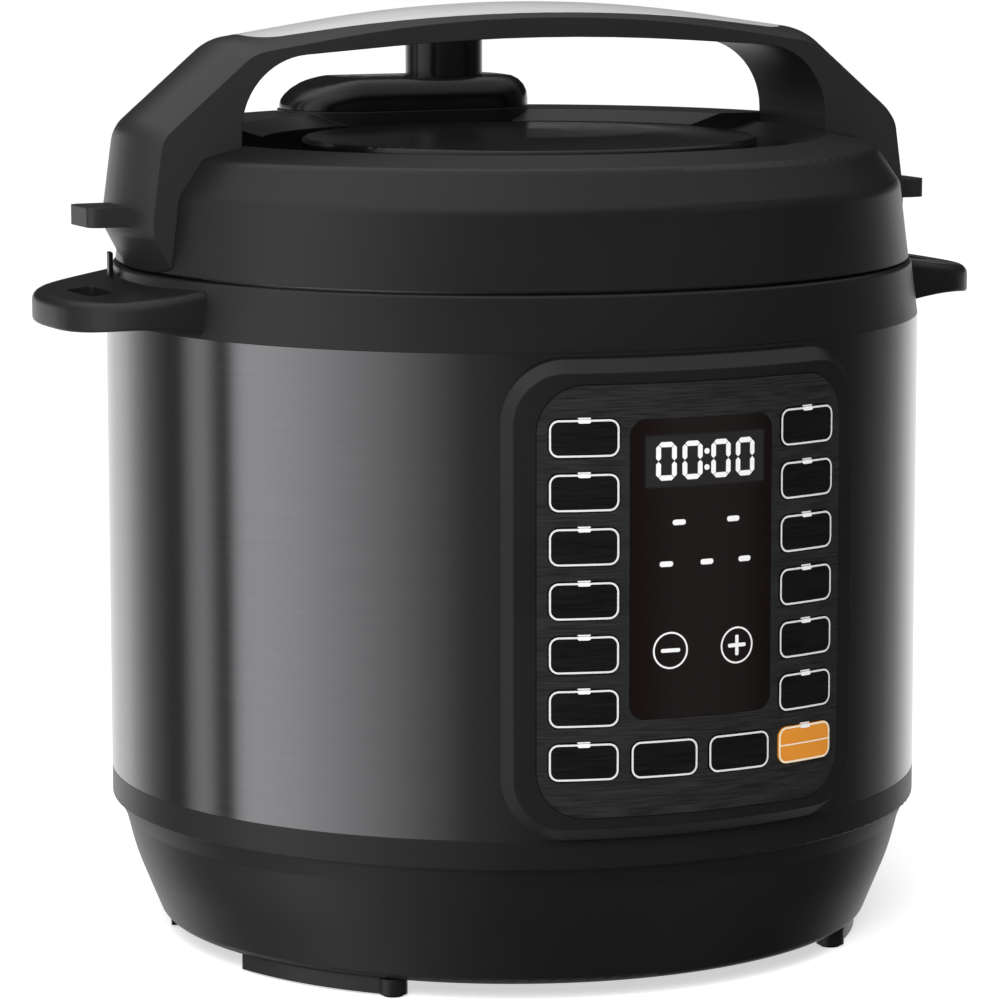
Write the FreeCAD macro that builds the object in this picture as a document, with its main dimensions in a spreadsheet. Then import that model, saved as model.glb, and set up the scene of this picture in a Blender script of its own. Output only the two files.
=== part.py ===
"""Electric pressure cooker with a bayonet lid, an arched lid handle and a curved key panel.

Millimetres. The origin is the centre of the plane that the feet stand on, +Z is up,
-Y is the front with the key panel and +X is to the right of someone facing the front.
"""
import FreeCAD, Part, Sketcher
import math
import os

os.makedirs("parts", exist_ok=True)
doc = FreeCAD.newDocument("pressure_cooker")
sheet = doc.addObject("Spreadsheet::Sheet", "Sizes")

SIZES = {
    # clearances
    "seat_gap": 0.1,
    "slide_gap": 0.35,
    "cut_over": 5.0,
    # steel shell and the two plastic rings that hold it
    "shell_radius": 135.0,
    "shell_sheet": 0.8,
    "shell_bottom": 56.2,
    "shell_height": 151.8,
    "ring_height": 9.6,
    "ring_wall": 3.5,
    "ring_round": 0.8,
    "tongue_height": 6.0,
    "collar_height": 17.6,
    "collar_draft": 2.3,
    "collar_wall": 6.4,
    "collar_round": 1.2,
    "moat_depth": 24.1,
    "moat_floor": 3.0,
    # base bowl, feet and bottom cover
    "bowl_step": 1.6,
    "bowl_lip_drop": 6.4,
    "bowl_lip_inset": 2.9,
    "bowl_lip_round": 5.0,
    "bowl_belly_radius": 127.4,
    "bowl_belly_height": 28.0,
    "bowl_belly_round": 70.0,
    "bowl_foot_radius": 118.4,
    "bowl_foot_round": 4.0,
    "bowl_floor_round": 3.0,
    "bowl_upstand": 4.0,
    "bowl_wall": 2.5,
    "bowl_opening": 100.0,
    "foot_height": 6.0,
    "rail_width": 5.5,
    "rail_inset": 2.4,
    "rail_start": 44.0,
    "rail_end": 73.5,
    "peg_radius": 4.6,
    "pad_radius": 3.2,
    "pad_proud": 0.8,
    "pad_depth": 2.0,
    "cover_flange": 5.0,
    "cover_sheet": 2.0,
    "post_radius": 3.5,
    "post_height": 8.0,
    "vent_count": 5,
    "vent_pitch": 12.0,
    "vent_width": 4.0,
    "vent_length": 70.0,
    # side handles
    "grip_reach": 28.0,
    "grip_root_width": 73.0,
    "grip_root_round": 4.0,
    "grip_tip_width": 50.0,
    "grip_corner": 22.0,
    "grip_drop": 0.4,
    "grip_root_height": 12.6,
    "grip_tip_height": 7.0,
    "grip_tip_rise": 2.6,
    "grip_tip_round": 3.0,
    "grip_under_flat": 3.0,
    "grip_under_round": 12.0,
    "grip_top_round": 40.0,
    "slot_length": 25.0,
    "slot_width": 9.5,
    "slot_offset": 13.0,
    "slot_corner": 2.5,
    "guard_place": 15.5,
    "guard_width": 6.0,
    "guard_wall": 1.8,
    "guard_gap": 0.2,
    "guard_height": 6.2,
    "guard_root": 2.0,
    # outer pot with the bayonet teeth, inner pot, heater
    "liner_radius": 118.4,
    "liner_sheet": 1.2,
    "liner_floor": 38.8,
    "liner_corner": 10.0,
    "liner_hole": 30.0,
    "liner_rise": 15.5,
    "bead_reach": 2.6,
    "bead_height": 1.5,
    "tooth_count": 8,
    "tooth_angle": 14.0,
    "tooth_reach": 5.1,
    "tooth_thick": 3.0,
    "pot_radius": 111.5,
    "pot_sheet": 1.2,
    "pot_corner": 12.0,
    "pot_rim_reach": 4.9,
    "pot_rim_lift": 0.6,
    "pot_rim_thick": 1.4,
    "plate_radius": 92.0,
    "plate_edge": 5.5,
    "plate_thick": 12.5,
    "plate_hub_radius": 66.0,
    "plate_hub_wall": 6.0,
    "plate_stand": 10.0,
    "sensor_radius": 11.0,
    "sensor_hole": 14.0,
    "sensor_cap": 5.0,
    "sensor_sink": 0.2,
    "sensor_stem": 4.0,
    "sensor_length": 27.0,
    "sensor_round": 1.0,
    "spring_radius": 7.5,
    "spring_wire": 1.2,
    "spring_turns": 4,
    "cradle_wall": 1.5,
    # electrics in the base
    "switch_length": 22.0,
    "switch_width": 14.0,
    "switch_height": 9.0,
    "switch_place": 62.0,
    "switch_stem": 4.0,
    "fuse_radius": 3.0,
    "fuse_length": 26.0,
    "fuse_strap": 9.0,
    "fuse_ear": 4.0,
    "board_length": 96.0,
    "board_width": 60.0,
    "board_thick": 1.6,
    "relay_x": 10.0,
    "relay_y": 8.0,
    "relay_length": 22.0,
    "relay_width": 11.0,
    "relay_height": 11.0,
    "coil_x": 42.0,
    "coil_y": 6.0,
    "coil_length": 28.0,
    "coil_height": 10.0,
    "capacitor_x": 84.0,
    "capacitor_y": 16.0,
    "capacitor_radius": 6.0,
    "capacitor_height": 10.0,
    "inlet_width": 30.0,
    "inlet_height": 22.0,
    "inlet_depth": 17.0,
    "inlet_wall": 3.0,
    "inlet_face": 129.0,
    "inlet_middle": 27.0,
    "blade_width": 4.0,
    "blade_thick": 2.0,
    "blade_length": 11.0,
    "blade_pitch": 7.0,
    "blade_rise": 3.0,
    "screw_shank": 1.5,
    "screw_head": 3.4,
    "screw_head_height": 1.6,
    "screw_circle": 92.0,
    # key panel, a cylinder round the cooker's axis
    "face_proud": 7.6,
    "face_thick": 2.2,
    "face_width": 107.0,
    "face_low_margin": 8.5,
    "face_high_margin": 9.0,
    "face_corner": 15.0,
    "bezel_side": 11.0,
    "bezel_end": 7.6,
    "bezel_corner": 20.0,
    "bezel_drop": 0.5,
    "bezel_chamfer": 4.0,
    "glass_width": 49.0,
    "glass_low_margin": 30.1,
    "glass_high_margin": 11.0,
    "glass_corner": 5.0,
    "glass_rest": 3.0,
    "glass_sink": 0.15,
    "key_width": 22.0,
    "key_height": 11.7,
    "key_corner": 3.2,
    "key_gap": 0.35,
    "key_proud": 0.35,
    "key_travel_room": 0.65,
    "key_column_pitch": 25.9,
    "key_low_margin": 17.6,
    "key_high_margin": 16.2,
    "key_rows": 7,
    "window_width": 76.0,
    "window_low_margin": 11.3,
    "window_high_margin": 11.0,
    "window_corner": 6.0,
    "control_board_width": 82.0,
    "control_board_back": 9.0,
    "control_post_inset": 7.0,
    "control_post_radius": 3.0,
    "digits_width": 40.0,
    "digits_height": 14.0,
    "digits_depth": 10.0,
    "digits_drop": 25.0,
    # condensation cup behind
    "cup_width": 62.0,
    "cup_height": 48.0,
    "cup_drop": 56.0,
    "cup_depth": 10.0,
    "cup_wall": 1.6,
    "cup_corner": 8.0,
    "bracket_sheet": 1.6,
    "bracket_margin": 8.0,
    # lid
    "lid_lift_gap": 1.0,
    "lid_radius": 131.8,
    "lid_wall_height": 24.4,
    "lid_wall_radius": 128.8,
    "lid_bevel_height": 11.9,
    "lid_bevel_radius": 120.7,
    "lid_rim_height": 3.6,
    "lid_rim_radius": 105.0,
    "lid_wall_round": 6.0,
    "lid_bevel_round": 4.0,
    "lid_well_radius": 92.0,
    "lid_well_depth": 8.0,
    "lid_well_taper": 1.5,
    "lid_band_drop": 3.1,
    "lid_shell": 2.5,
    "lid_under_drop": 3.5,
    "deck_height": 11.0,
    "deck_radius": 119.0,
    "deck_bevel": 2.5,
    "deck_bevel_reach": 5.0,
    "deck_lip": 7.5,
    "deck_slope": 10.0,
    "dome_radius": 75.0,
    "dome_place": -14.0,
    "dome_gap": 13.0,
    "dome_edge": 8.0,
    "dome_edge_round": 1.5,
    "dome_shoulder": 41.0,
    "dome_shoulder_rise": 2.0,
    "dome_round": 90.0,
    "dome_rise": 2.5,
    "boss_radius": 5.0,
    "boss_circle": 78.0,
    # pressure lid under the cover
    "skirt_radius": 125.8,
    "skirt_sheet": 1.2,
    "skirt_drop": 16.6,
    "skirt_top": 5.4,
    "lug_reach": 5.0,
    "lug_thick": 3.4,
    "skirt_round": 2.0,
    "crown_edge": 109.0,
    "crown_radius": 103.0,
    "crown_rise": 10.0,
    "seal_radius": 117.2,
    "seal_width": 4.4,
    "seal_height": 9.6,
    "seal_lift": 0.5,
    "rack_wire": 1.4,
    # arched handle on the lid
    "arch_half_width": 24.0,
    "arch_tip_radius": 132.6,
    "arch_cheek_reach": 135.4,
    "arch_cheek_low": 12.4,
    "arch_cheek_low_round": 6.0,
    "arch_cheek_high": 18.6,
    "arch_cheek_high_round": 20.0,
    "arch_shoulder_reach": 132.0,
    "arch_shoulder_height": 42.8,
    "arch_shoulder_round": 9.0,
    "arch_corner_reach": 100.5,
    "arch_corner_height": 69.3,
    "arch_corner_round": 16.0,
    "arch_peak": 84.6,
    "arch_bow": 0.73,
    "arch_crown": 4.0,
    "grip_gap_reach": 106.5,
    "grip_gap_lean": 2.0,
    "grip_gap_side": 67.1,
    "grip_gap_round": 24.0,
    "grip_gap_peak": 74.4,
    "grip_gap_bow": 0.5,
    "fin_root": 0.5,
    "fin_reach": 152.0,
    "fin_width": 22.0,
    "fin_height": 6.3,
    "fin_rise": 14.5,
    "fin_corner": 4.0,
    "trim_length": 194.0,
    "trim_peak_width": 45.0,
    "trim_end_width": 26.0,
    "trim_corner": 11.0,
    "trim_bow": 0.6,
    "trim_depth": 0.6,
    # steam valve
    "valve_x": 0.0,
    "valve_y": 91.0,
    "valve_length": 88.5,
    "valve_width": 46.0,
    "valve_end_flat": 1.0,
    "valve_height": 10.9,
    "valve_round": 7.0,
    "valve_floor": 1.2,
    "valve_seat_rise": 1.0,
    "valve_seat_margin": 1.5,
    "knob_x": 15.3,
    "knob_radius": 13.5,
    "knob_proud": 13.6,
    "knob_stroke": 3.0,
    "knob_wall": 2.5,
    "knob_round": 1.6,
    "knob_spring_radius": 8.0,
    "knob_spring_turns": 5,
    "vent_radius": 4.0,
    "vent_bore": 2.0,
    "vent_drop": 3.0,
    "shield_radius": 9.0,
    "shield_round": 2.0,
    "shield_height": 9.0,
    "shield_wall": 1.0,
    "float_x": -18.0,
    "float_radius": 3.0,
    "float_tip_round": 1.0,
    "float_flange": 5.6,
    "float_flange_thick": 2.0,
    "float_travel": 4.0,
    "float_seal_thick": 1.2,
}


class Size:
    """A length that knows its value and the expression that ties it to the sheet."""

    def __init__(self, value, text):
        self.value = value
        self.text = text

    def joined(self, other, sign, value):
        return Size(value, f"({self.text} {sign} {other.text})")

    def __add__(self, other):
        other = size(other)
        return self.joined(other, "+", self.value + other.value)

    def __sub__(self, other):
        other = size(other)
        return self.joined(other, "-", self.value - other.value)

    def __mul__(self, other):
        other = size(other)
        return self.joined(other, "*", self.value * other.value)

    def __truediv__(self, other):
        other = size(other)
        return self.joined(other, "/", self.value / other.value)

    def __neg__(self):
        return Size(-self.value, f"(-{self.text})")


def size(number):
    return number if isinstance(number, Size) else Size(number, repr(float(number)))


def degrees_of_arc(length, radius):
    """The angle in degrees that an arc of this length covers."""
    return length / radius * (180 / math.pi)


def sine(angle):
    return Size(math.sin(math.radians(angle.value)), f"sin({angle.text} * 1 deg)")


def cosine(angle):
    return Size(math.cos(math.radians(angle.value)), f"cos({angle.text} * 1 deg)")


class Named:
    """The sheet's sizes as attributes."""


S = Named()
for row, (alias, number) in enumerate(SIZES.items(), start=1):
    sheet.set(f"A{row}", alias)
    sheet.set(f"B{row}", str(number))
    sheet.setAlias(f"B{row}", alias)
    setattr(S, alias, Size(float(number), f"Sizes.{alias}"))
doc.recompute()

# heights and radii that several pieces share
ZERO = size(0)
SHELL_TOP = S.shell_bottom + S.shell_height
SHELL_INSIDE = S.shell_radius - S.shell_sheet
RING_BOTTOM = S.shell_bottom - S.ring_height
RING_INSIDE = S.shell_radius - S.ring_wall
COLLAR_TOP = SHELL_TOP + S.collar_height
COLLAR_TOP_RADIUS = S.shell_radius - S.collar_draft
MOAT_WALL = S.shell_radius - S.collar_wall
MOAT_FLOOR = COLLAR_TOP - S.moat_depth
BOWL_BOTTOM = S.foot_height
BOWL_FLOOR = BOWL_BOTTOM + S.bowl_wall
COVER_TOP = BOWL_FLOOR + S.cover_sheet
BOARD_BOTTOM = COVER_TOP + S.post_height
LINER_INSIDE = S.liner_radius - S.liner_sheet
LINER_TOP = MOAT_FLOOR + S.liner_rise
LINER_FLOOR_TOP = S.liner_floor + S.liner_sheet
PLATE_TOP = LINER_FLOOR_TOP + S.plate_stand + S.plate_thick
POT_RIM = LINER_TOP + S.pot_rim_lift
POT_TOP = POT_RIM + S.pot_rim_thick
FACE_RADIUS = S.shell_radius + S.face_proud
FACE_FLOOR = FACE_RADIUS - S.face_thick
FACE_BOTTOM = S.shell_bottom + S.face_low_margin
FACE_TOP = SHELL_TOP - S.face_high_margin
FACE_HEIGHT = FACE_TOP - FACE_BOTTOM
GLASS_BOTTOM = FACE_BOTTOM + S.glass_low_margin
GLASS_HEIGHT = FACE_TOP - S.glass_high_margin - GLASS_BOTTOM
WINDOW_BOTTOM = FACE_BOTTOM + S.window_low_margin
WINDOW_HEIGHT = FACE_TOP - S.window_high_margin - WINDOW_BOTTOM
KEY_FIRST_ROW = FACE_TOP - S.key_high_margin
KEY_ROW_PITCH = (KEY_FIRST_ROW - FACE_BOTTOM - S.key_low_margin) / (S.key_rows - 1)
BEZEL_RADIUS = FACE_RADIUS - S.bezel_drop
BEZEL_BACK = S.shell_radius
BOARD_BACK = S.shell_radius - S.control_board_back
CUP_BOTTOM = SHELL_TOP - S.cup_drop
BRACKET_FACE = S.shell_radius + S.bracket_sheet
CUP_INSIDE = BRACKET_FACE + S.slide_gap
LID_BOTTOM = COLLAR_TOP + S.lid_lift_gap
LID_WALL_TOP = LID_BOTTOM + S.lid_wall_height
LID_BEVEL_TOP = LID_WALL_TOP + S.lid_bevel_height
LID_RIM_TOP = LID_BEVEL_TOP + S.lid_rim_height
WELL_FLOOR = LID_RIM_TOP - S.lid_well_depth
WELL_UNDER = WELL_FLOOR - S.lid_shell
BAND_BOTTOM = LID_RIM_TOP - S.lid_band_drop
DECK_TOP = WELL_FLOOR + S.deck_height
SKIRT_BOTTOM = COLLAR_TOP - S.skirt_drop
SKIRT_TOP = COLLAR_TOP + S.skirt_top
SKIRT_UNDER = SKIRT_TOP - S.skirt_sheet
SKIRT_INSIDE = S.skirt_radius - S.skirt_sheet
CROWN_TOP = SKIRT_TOP + S.crown_rise
CROWN_UNDER = CROWN_TOP - S.skirt_sheet
VALVE_SEAT = DECK_TOP + S.valve_seat_rise
VALVE_TOP = VALVE_SEAT + S.valve_height
VALVE_FLOOR = VALVE_SEAT + S.valve_floor
KNOB_BOTTOM = VALVE_FLOOR + S.knob_stroke + S.slide_gap


def new_body(name):
    body = doc.addObject("PartDesign::Body", name)
    body.Label = name
    return body


def origin_feature(body, role):
    return next(item for item in body.Origin.OriginFeatures if item.Role == role)


def new_sketch(body, role, name, lift=None):
    sketch = body.newObject("Sketcher::SketchObject", name)
    sketch.AttachmentSupport = (origin_feature(body, role), [""])
    sketch.MapMode = "FlatFace"
    if lift is not None:
        sketch.AttachmentOffset = FreeCAD.Placement(FreeCAD.Vector(0, 0, lift.value), FreeCAD.Rotation())
        sketch.setExpression("AttachmentOffset.Base.z", lift.text)
    return sketch


def tie(sketch, kind, references, length):
    index = sketch.addConstraint(Sketcher.Constraint(kind, *references, length.value))
    sketch.setExpression(f"Constraints[{index}]", length.text)


def pin_point(sketch, geometry, end, point):
    """Hold one point of a sketch at its two sizes, or on an axis where a size is zero."""
    for kind, axis, length in (("DistanceX", -2, point[0]), ("DistanceY", -1, point[1])):
        if length.text == ZERO.text:
            sketch.addConstraint(Sketcher.Constraint("PointOnObject", geometry, end, axis))
        else:
            tie(sketch, kind, (-1, 1, geometry, end), length)


def outline(sketch, corners):
    """A closed outline of straight runs; a corner with a third size is rounded to that radius."""
    corners = [[size(value) for value in corner] for corner in corners]
    places = [FreeCAD.Vector(corner[0].value, corner[1].value, 0) for corner in corners]
    count = len(corners)
    leave = []
    reach = []
    for index, corner in enumerate(corners):
        place = places[index]
        back = (places[index - 1] - place).normalize()
        ahead = (places[(index + 1) % count] - place).normalize()
        cut = 0.0
        if len(corner) == 3:
            cut = corner[2].value / math.tan(back.getAngle(ahead) / 2)
        reach.append(place + back * cut)
        leave.append(place + ahead * cut)
    lines = []
    for index in range(count):
        segment = Part.LineSegment(leave[index], reach[(index + 1) % count])
        lines.append(sketch.addGeometry(segment, False))
    for index, corner in enumerate(corners):
        before, after = lines[index - 1], lines[index]
        if len(corner) == 2:
            sketch.addConstraint(Sketcher.Constraint("Coincident", before, 2, after, 1))
            pin_point(sketch, after, 1, corner)
            continue
        place = places[index]
        middle = (reach[index] + leave[index]) * 0.5
        towards = (middle - place).normalize()
        half = (reach[index] - place).getAngle(towards)
        centre = place + towards * (corner[2].value / math.sin(half))
        bulge = centre - towards * corner[2].value
        arc = Part.Arc(reach[index], bulge, leave[index])
        curve = sketch.addGeometry(arc, False)
        turn = (place - reach[index]).cross(leave[index] - place).z
        first, last = (1, 2) if turn > 0 else (2, 1)
        sketch.addConstraint(Sketcher.Constraint("Tangent", before, 2, curve, first))
        sketch.addConstraint(Sketcher.Constraint("Tangent", curve, last, after, 1))
        tie(sketch, "Radius", (curve,), corner[2])
        mark = sketch.addGeometry(Part.Point(place), True)
        sketch.addConstraint(Sketcher.Constraint("PointOnObject", mark, 1, before))
        sketch.addConstraint(Sketcher.Constraint("PointOnObject", mark, 1, after))
        pin_point(sketch, mark, 1, corner)


def circle(sketch, centre, radius):
    centre = [size(value) for value in centre]
    place = FreeCAD.Vector(centre[0].value, centre[1].value, 0)
    shape = Part.Circle(place, FreeCAD.Vector(0, 0, 1), radius.value)
    index = sketch.addGeometry(shape, False)
    pin_point(sketch, index, 3, centre)
    tie(sketch, "Radius", (index,), radius)


def set_size(feature, attribute, length):
    setattr(feature, attribute, length.value)
    feature.setExpression(attribute, length.text)


def pad(body, sketch, length, both_ways=False):
    feature = body.newObject("PartDesign::Pad", sketch.Name + "_pad")
    feature.Profile = sketch
    set_size(feature, "Length", length)
    feature.Midplane = both_ways
    sketch.Visibility = False
    return feature


def pocket(body, sketch, length, both_ways=False, up=False):
    feature = body.newObject("PartDesign::Pocket", sketch.Name + "_pocket")
    feature.Profile = sketch
    set_size(feature, "Length", length)
    feature.Midplane = both_ways
    feature.Reversed = up
    return feature


def turned(body, sketch, kind="PartDesign::Revolution"):
    feature = body.newObject(kind, sketch.Name + "_turned")
    feature.Profile = sketch
    feature.ReferenceAxis = (sketch, ["V_Axis"])
    feature.Angle = 360
    return feature


def round_ring(name, corners):
    """A piece turned round the cooker's axis from its section, given as (radius, height)."""
    body = new_body(name)
    sketch = new_sketch(body, "XZ_Plane", name + "_section")
    outline(sketch, corners)
    turned(body, sketch)
    return body


def radial_corners(shape):
    """The edges that run outwards from the axis at one height."""
    found = []
    for index, edge in enumerate(shape.Edges, start=1):
        start, end = edge.Vertexes[0].Point, edge.Vertexes[-1].Point
        level = abs(start.z - end.z) < 1e-6
        spread = abs(math.hypot(start.x, start.y) - math.hypot(end.x, end.y))
        if level and spread > 1e-3:
            found.append(f"Edge{index}")
    return found


def curved_tile(name, inside, outside, width, bottom, height, corner, angle=ZERO, wide_at=None):
    """A rounded rectangle wrapped on a cylinder round the axis, turned from the front by an angle."""
    body = new_body(name)
    sketch = new_sketch(body, "XZ_Plane", name + "_section")
    outline(sketch, [(inside, bottom), (outside, bottom), (outside, bottom + height), (inside,
                                                                                       bottom + height)])
    sweep = body.newObject("PartDesign::Revolution", name + "_sweep")
    sweep.Profile = sketch
    sweep.ReferenceAxis = (sketch, ["V_Axis"])
    set_size(sweep, "Angle", degrees_of_arc(width, wide_at or outside))
    sweep.Midplane = True
    doc.recompute()
    rounded = body.newObject("PartDesign::Fillet", name + "_corners")
    rounded.Base = (sweep, radial_corners(sweep.Shape))
    set_size(rounded, "Radius", corner)
    turn = angle - 90
    body.Placement = FreeCAD.Placement(FreeCAD.Vector(), FreeCAD.Rotation(FreeCAD.Vector(0, 0, 1),
                                                                          turn.value))
    body.setExpression("Placement.Rotation.Angle", turn.text + " * 1 deg")
    doc.recompute()
    return body


def cylinder(name, radius, bottom, height, x=ZERO, y=ZERO):
    piece = doc.addObject("Part::Cylinder", name)
    piece.Label = name
    set_size(piece, "Radius", size(radius))
    set_size(piece, "Height", size(height))
    place(piece, x, y, bottom)
    return piece


def box(name, low, lengths):
    piece = doc.addObject("Part::Box", name)
    piece.Label = name
    for attribute, length in zip(("Length", "Width", "Height"), lengths):
        set_size(piece, attribute, size(length))
    place(piece, *low)
    return piece


def place(piece, x, y, z):
    point = [size(value) for value in (x, y, z)]
    piece.Placement = FreeCAD.Placement(FreeCAD.Vector(*(item.value for item in point)), FreeCAD.Rotation())
    for axis, length in zip("xyz", point):
        piece.setExpression(f"Placement.Base.{axis}", length.text)


def joined(name, pieces):
    piece = doc.addObject("Part::MultiFuse", name)
    piece.Label = name
    piece.Shapes = pieces
    return piece


def cut(name, base, tool):
    piece = doc.addObject("Part::Cut", name)
    piece.Label = name
    piece.Base = base
    piece.Tool = tool
    return piece


def common(name, first, second):
    piece = doc.addObject("Part::Common", name)
    piece.Label = name
    piece.Base = first
    piece.Tool = second
    return piece


def group(name, pieces):
    piece = doc.addObject("Part::Compound", name)
    piece.Label = name
    piece.Links = pieces
    return piece


def mirrored(name, source, normal):
    piece = doc.addObject("Part::Mirroring", name)
    piece.Label = name
    piece.Source = source
    piece.Normal = normal
    return piece


def spread(name, source, places):
    """Copies of one piece at the given (x, y) places, as one group."""
    copies = []
    for index, (x, y) in enumerate(places, start=1):
        copy = doc.addObject("Part::Feature", f"{name}_{index}")
        copy.Shape = source.Shape.translated(FreeCAD.Vector(x.value, y.value, 0))
        copies.append(copy)
    return group(name, copies)


def sector(body, name, role_lift, inside, outside, start, end):
    """A sketch of a ring's sector between two angles measured from the front, on the plan."""
    sketch = new_sketch(body, "XY_Plane", name, role_lift)
    low, high = math.radians(start.value), math.radians(end.value)
    middle = (low + high) / 2

    def at(radius, angle):
        return FreeCAD.Vector(radius.value * math.sin(angle), -radius.value * math.cos(angle), 0)

    outer = sketch.addGeometry(Part.Arc(at(outside, low), at(outside, middle), at(outside, high)), False)
    last = sketch.addGeometry(Part.LineSegment(at(outside, high), at(inside, high)), False)
    inner = sketch.addGeometry(Part.Arc(at(inside, high), at(inside, middle), at(inside, low)), False)
    first = sketch.addGeometry(Part.LineSegment(at(inside, low), at(outside, low)), False)
    for curve, radius in ((outer, outside), (inner, inside)):
        sketch.addConstraint(Sketcher.Constraint("Coincident", curve, 3, -1, 1))
        tie(sketch, "Radius", (curve,), radius)
    ends = ((outer, 2, last, 1), (last, 2, inner, 2), (inner, 1, first, 1), (first, 2, outer, 1))
    for one, one_end, two, two_end in ends:
        sketch.addConstraint(Sketcher.Constraint("Coincident", one, one_end, two, two_end))
    for line, end_point, angle in ((first, 2, start), (last, 1, end)):
        tie(sketch, "DistanceX", (-1, 1, line, end_point), outside * sine(angle))
    for line, end_point, angle in ((first, 1, start), (last, 2, end)):
        tie(sketch, "DistanceX", (-1, 1, line, end_point), inside * sine(angle))
    return sketch


def around(body, feature, count):
    pattern = body.newObject("PartDesign::PolarPattern", feature.Name + "_round")
    pattern.Originals = [feature]
    pattern.Axis = (origin_feature(body, "Z_Axis"), [""])
    pattern.Angle = 360
    pattern.Occurrences = int(count.value)
    pattern.setExpression("Occurrences", count.text)
    body.Tip = pattern
    return pattern


def quarter_circle_places(radius):
    """Four places on a circle, on the diagonals."""
    reach = radius * math.sqrt(0.5)
    return [(reach, reach), (-reach, reach), (-reach, -reach), (reach, -reach)]


def spring(name, radius, wire, bottom, top, turns, x, y):
    """A closed-end coil: one tube along arcs that follow a helix, with its own least gap printed."""
    end = wire.value * 0.55
    span = top.value - bottom.value - 2 * end
    steps = int(turns.value) * 4
    knots = []
    for step in range(steps + 1):
        angle = step * math.pi / 2
        rise = end + span * step / steps
        point = FreeCAD.Vector(math.cos(angle), math.sin(angle), 0) * radius.value
        slope = span / steps / (math.pi / 2)
        heading = FreeCAD.Vector(-math.sin(angle), math.cos(angle), 0) * radius.value
        heading += FreeCAD.Vector(0, 0, slope)
        knots.append((point + FreeCAD.Vector(0, 0, rise), heading.normalize()))
    edges = []
    for (start, leaving), (end, arriving) in zip(knots, knots[1:]):
        chord = end - start
        along = leaving + arriving
        open_angle = 2 * (1 - leaving.dot(arriving))
        inward = chord.dot(along)
        reach = (-inward + math.sqrt(inward ** 2 + open_angle * chord.dot(chord))) / open_angle
        near = start + leaving * reach
        far = end - arriving * reach
        joint = (near + far) * 0.5
        for low, tip, high in ((start, near, joint), (joint, far, end)):
            middle = (low + high) * 0.5
            half_chord = (high - low).Length / 2
            half_turn = math.atan2((tip - middle).Length, half_chord)
            bulge = middle + (tip - middle).normalize() * half_chord * math.tan(half_turn / 2)
            edges.append(Part.Arc(low, bulge, high).toShape())
    path = Part.Wire(edges)
    ring = Part.Wire(Part.Circle(knots[0][0], knots[0][1], wire.value / 2).toShape())
    coil = path.makePipeShell([ring], True, False)
    piece = doc.addObject("Part::Feature", name)
    piece.Label = name
    piece.Shape = coil
    place(piece, x, y, bottom)
    print(name, "least gap", round(span / turns.value - wire.value, 2))
    return piece


def base_bowl():
    """Moulded bowl under the shell, with four rail feet and an opening for the power inlet."""
    top_outside = S.shell_radius - S.bowl_step
    lip = top_outside - S.bowl_lip_inset
    upstand = RING_INSIDE - S.seat_gap
    wall = S.bowl_wall
    section = round_ring("bowl_shell", [
        (top_outside, RING_BOTTOM),
        (lip, RING_BOTTOM - S.bowl_lip_drop, S.bowl_lip_round),
        (S.bowl_belly_radius, S.bowl_belly_height, S.bowl_belly_round),
        (S.bowl_foot_radius, BOWL_BOTTOM, S.bowl_foot_round),
        (S.bowl_opening, BOWL_BOTTOM),
        (S.bowl_opening, BOWL_FLOOR),
        (S.bowl_foot_radius - wall, BOWL_FLOOR, S.bowl_floor_round),
        (S.bowl_belly_radius - wall, S.bowl_belly_height, S.bowl_belly_round),
        (lip - wall, RING_BOTTOM - S.bowl_lip_drop),
        (upstand - wall, RING_BOTTOM + S.bowl_upstand),
        (upstand, RING_BOTTOM + S.bowl_upstand),
        (upstand, RING_BOTTOM),
    ])
    rail_outside = S.bowl_foot_radius - S.rail_inset
    rail = new_body("rail")
    sketch = sector(rail, "rail_plan", S.pad_proud, rail_outside - S.rail_width, rail_outside,
                    S.rail_start, S.rail_end)
    pad(rail, sketch, BOWL_BOTTOM - S.pad_proud)
    peg_circle = rail_outside - S.rail_width / 2
    peg_x = peg_circle * sine(S.rail_start)
    peg_y = -(peg_circle * cosine(S.rail_start))
    peg = cylinder("peg", S.peg_radius, S.pad_proud, BOWL_BOTTOM - S.pad_proud, peg_x, peg_y)
    socket = cylinder("pad_socket", S.pad_radius, S.pad_proud, S.pad_depth, peg_x, peg_y)
    foot = cut("foot_right_front", joined("rail_and_peg", [rail, peg]), socket)
    left = mirrored("foot_left_front", foot, FreeCAD.Vector(1, 0, 0))
    back_right = mirrored("foot_right_back", foot, FreeCAD.Vector(0, 1, 0))
    back_left = mirrored("foot_left_back", left, FreeCAD.Vector(0, 1, 0))
    bowl = joined("bowl_with_feet", [section, foot, left, back_right, back_left])
    room = S.inlet_width + S.seat_gap * 2
    tall = S.inlet_height + S.seat_gap * 2
    hole = box("inlet_hole", (-(room / 2), S.inlet_face - S.inlet_depth, S.inlet_middle - tall / 2),
               (room, S.inlet_depth * 2, tall))
    rubber = cylinder("pad", S.pad_radius, ZERO, S.pad_proud + S.pad_depth)
    doc.recompute()
    places = [(peg_x, peg_y), (-peg_x, peg_y), (peg_x, -peg_y), (-peg_x, -peg_y)]
    return [cut("base_bowl", bowl, hole), spread("foot_pads", rubber, places)]


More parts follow.
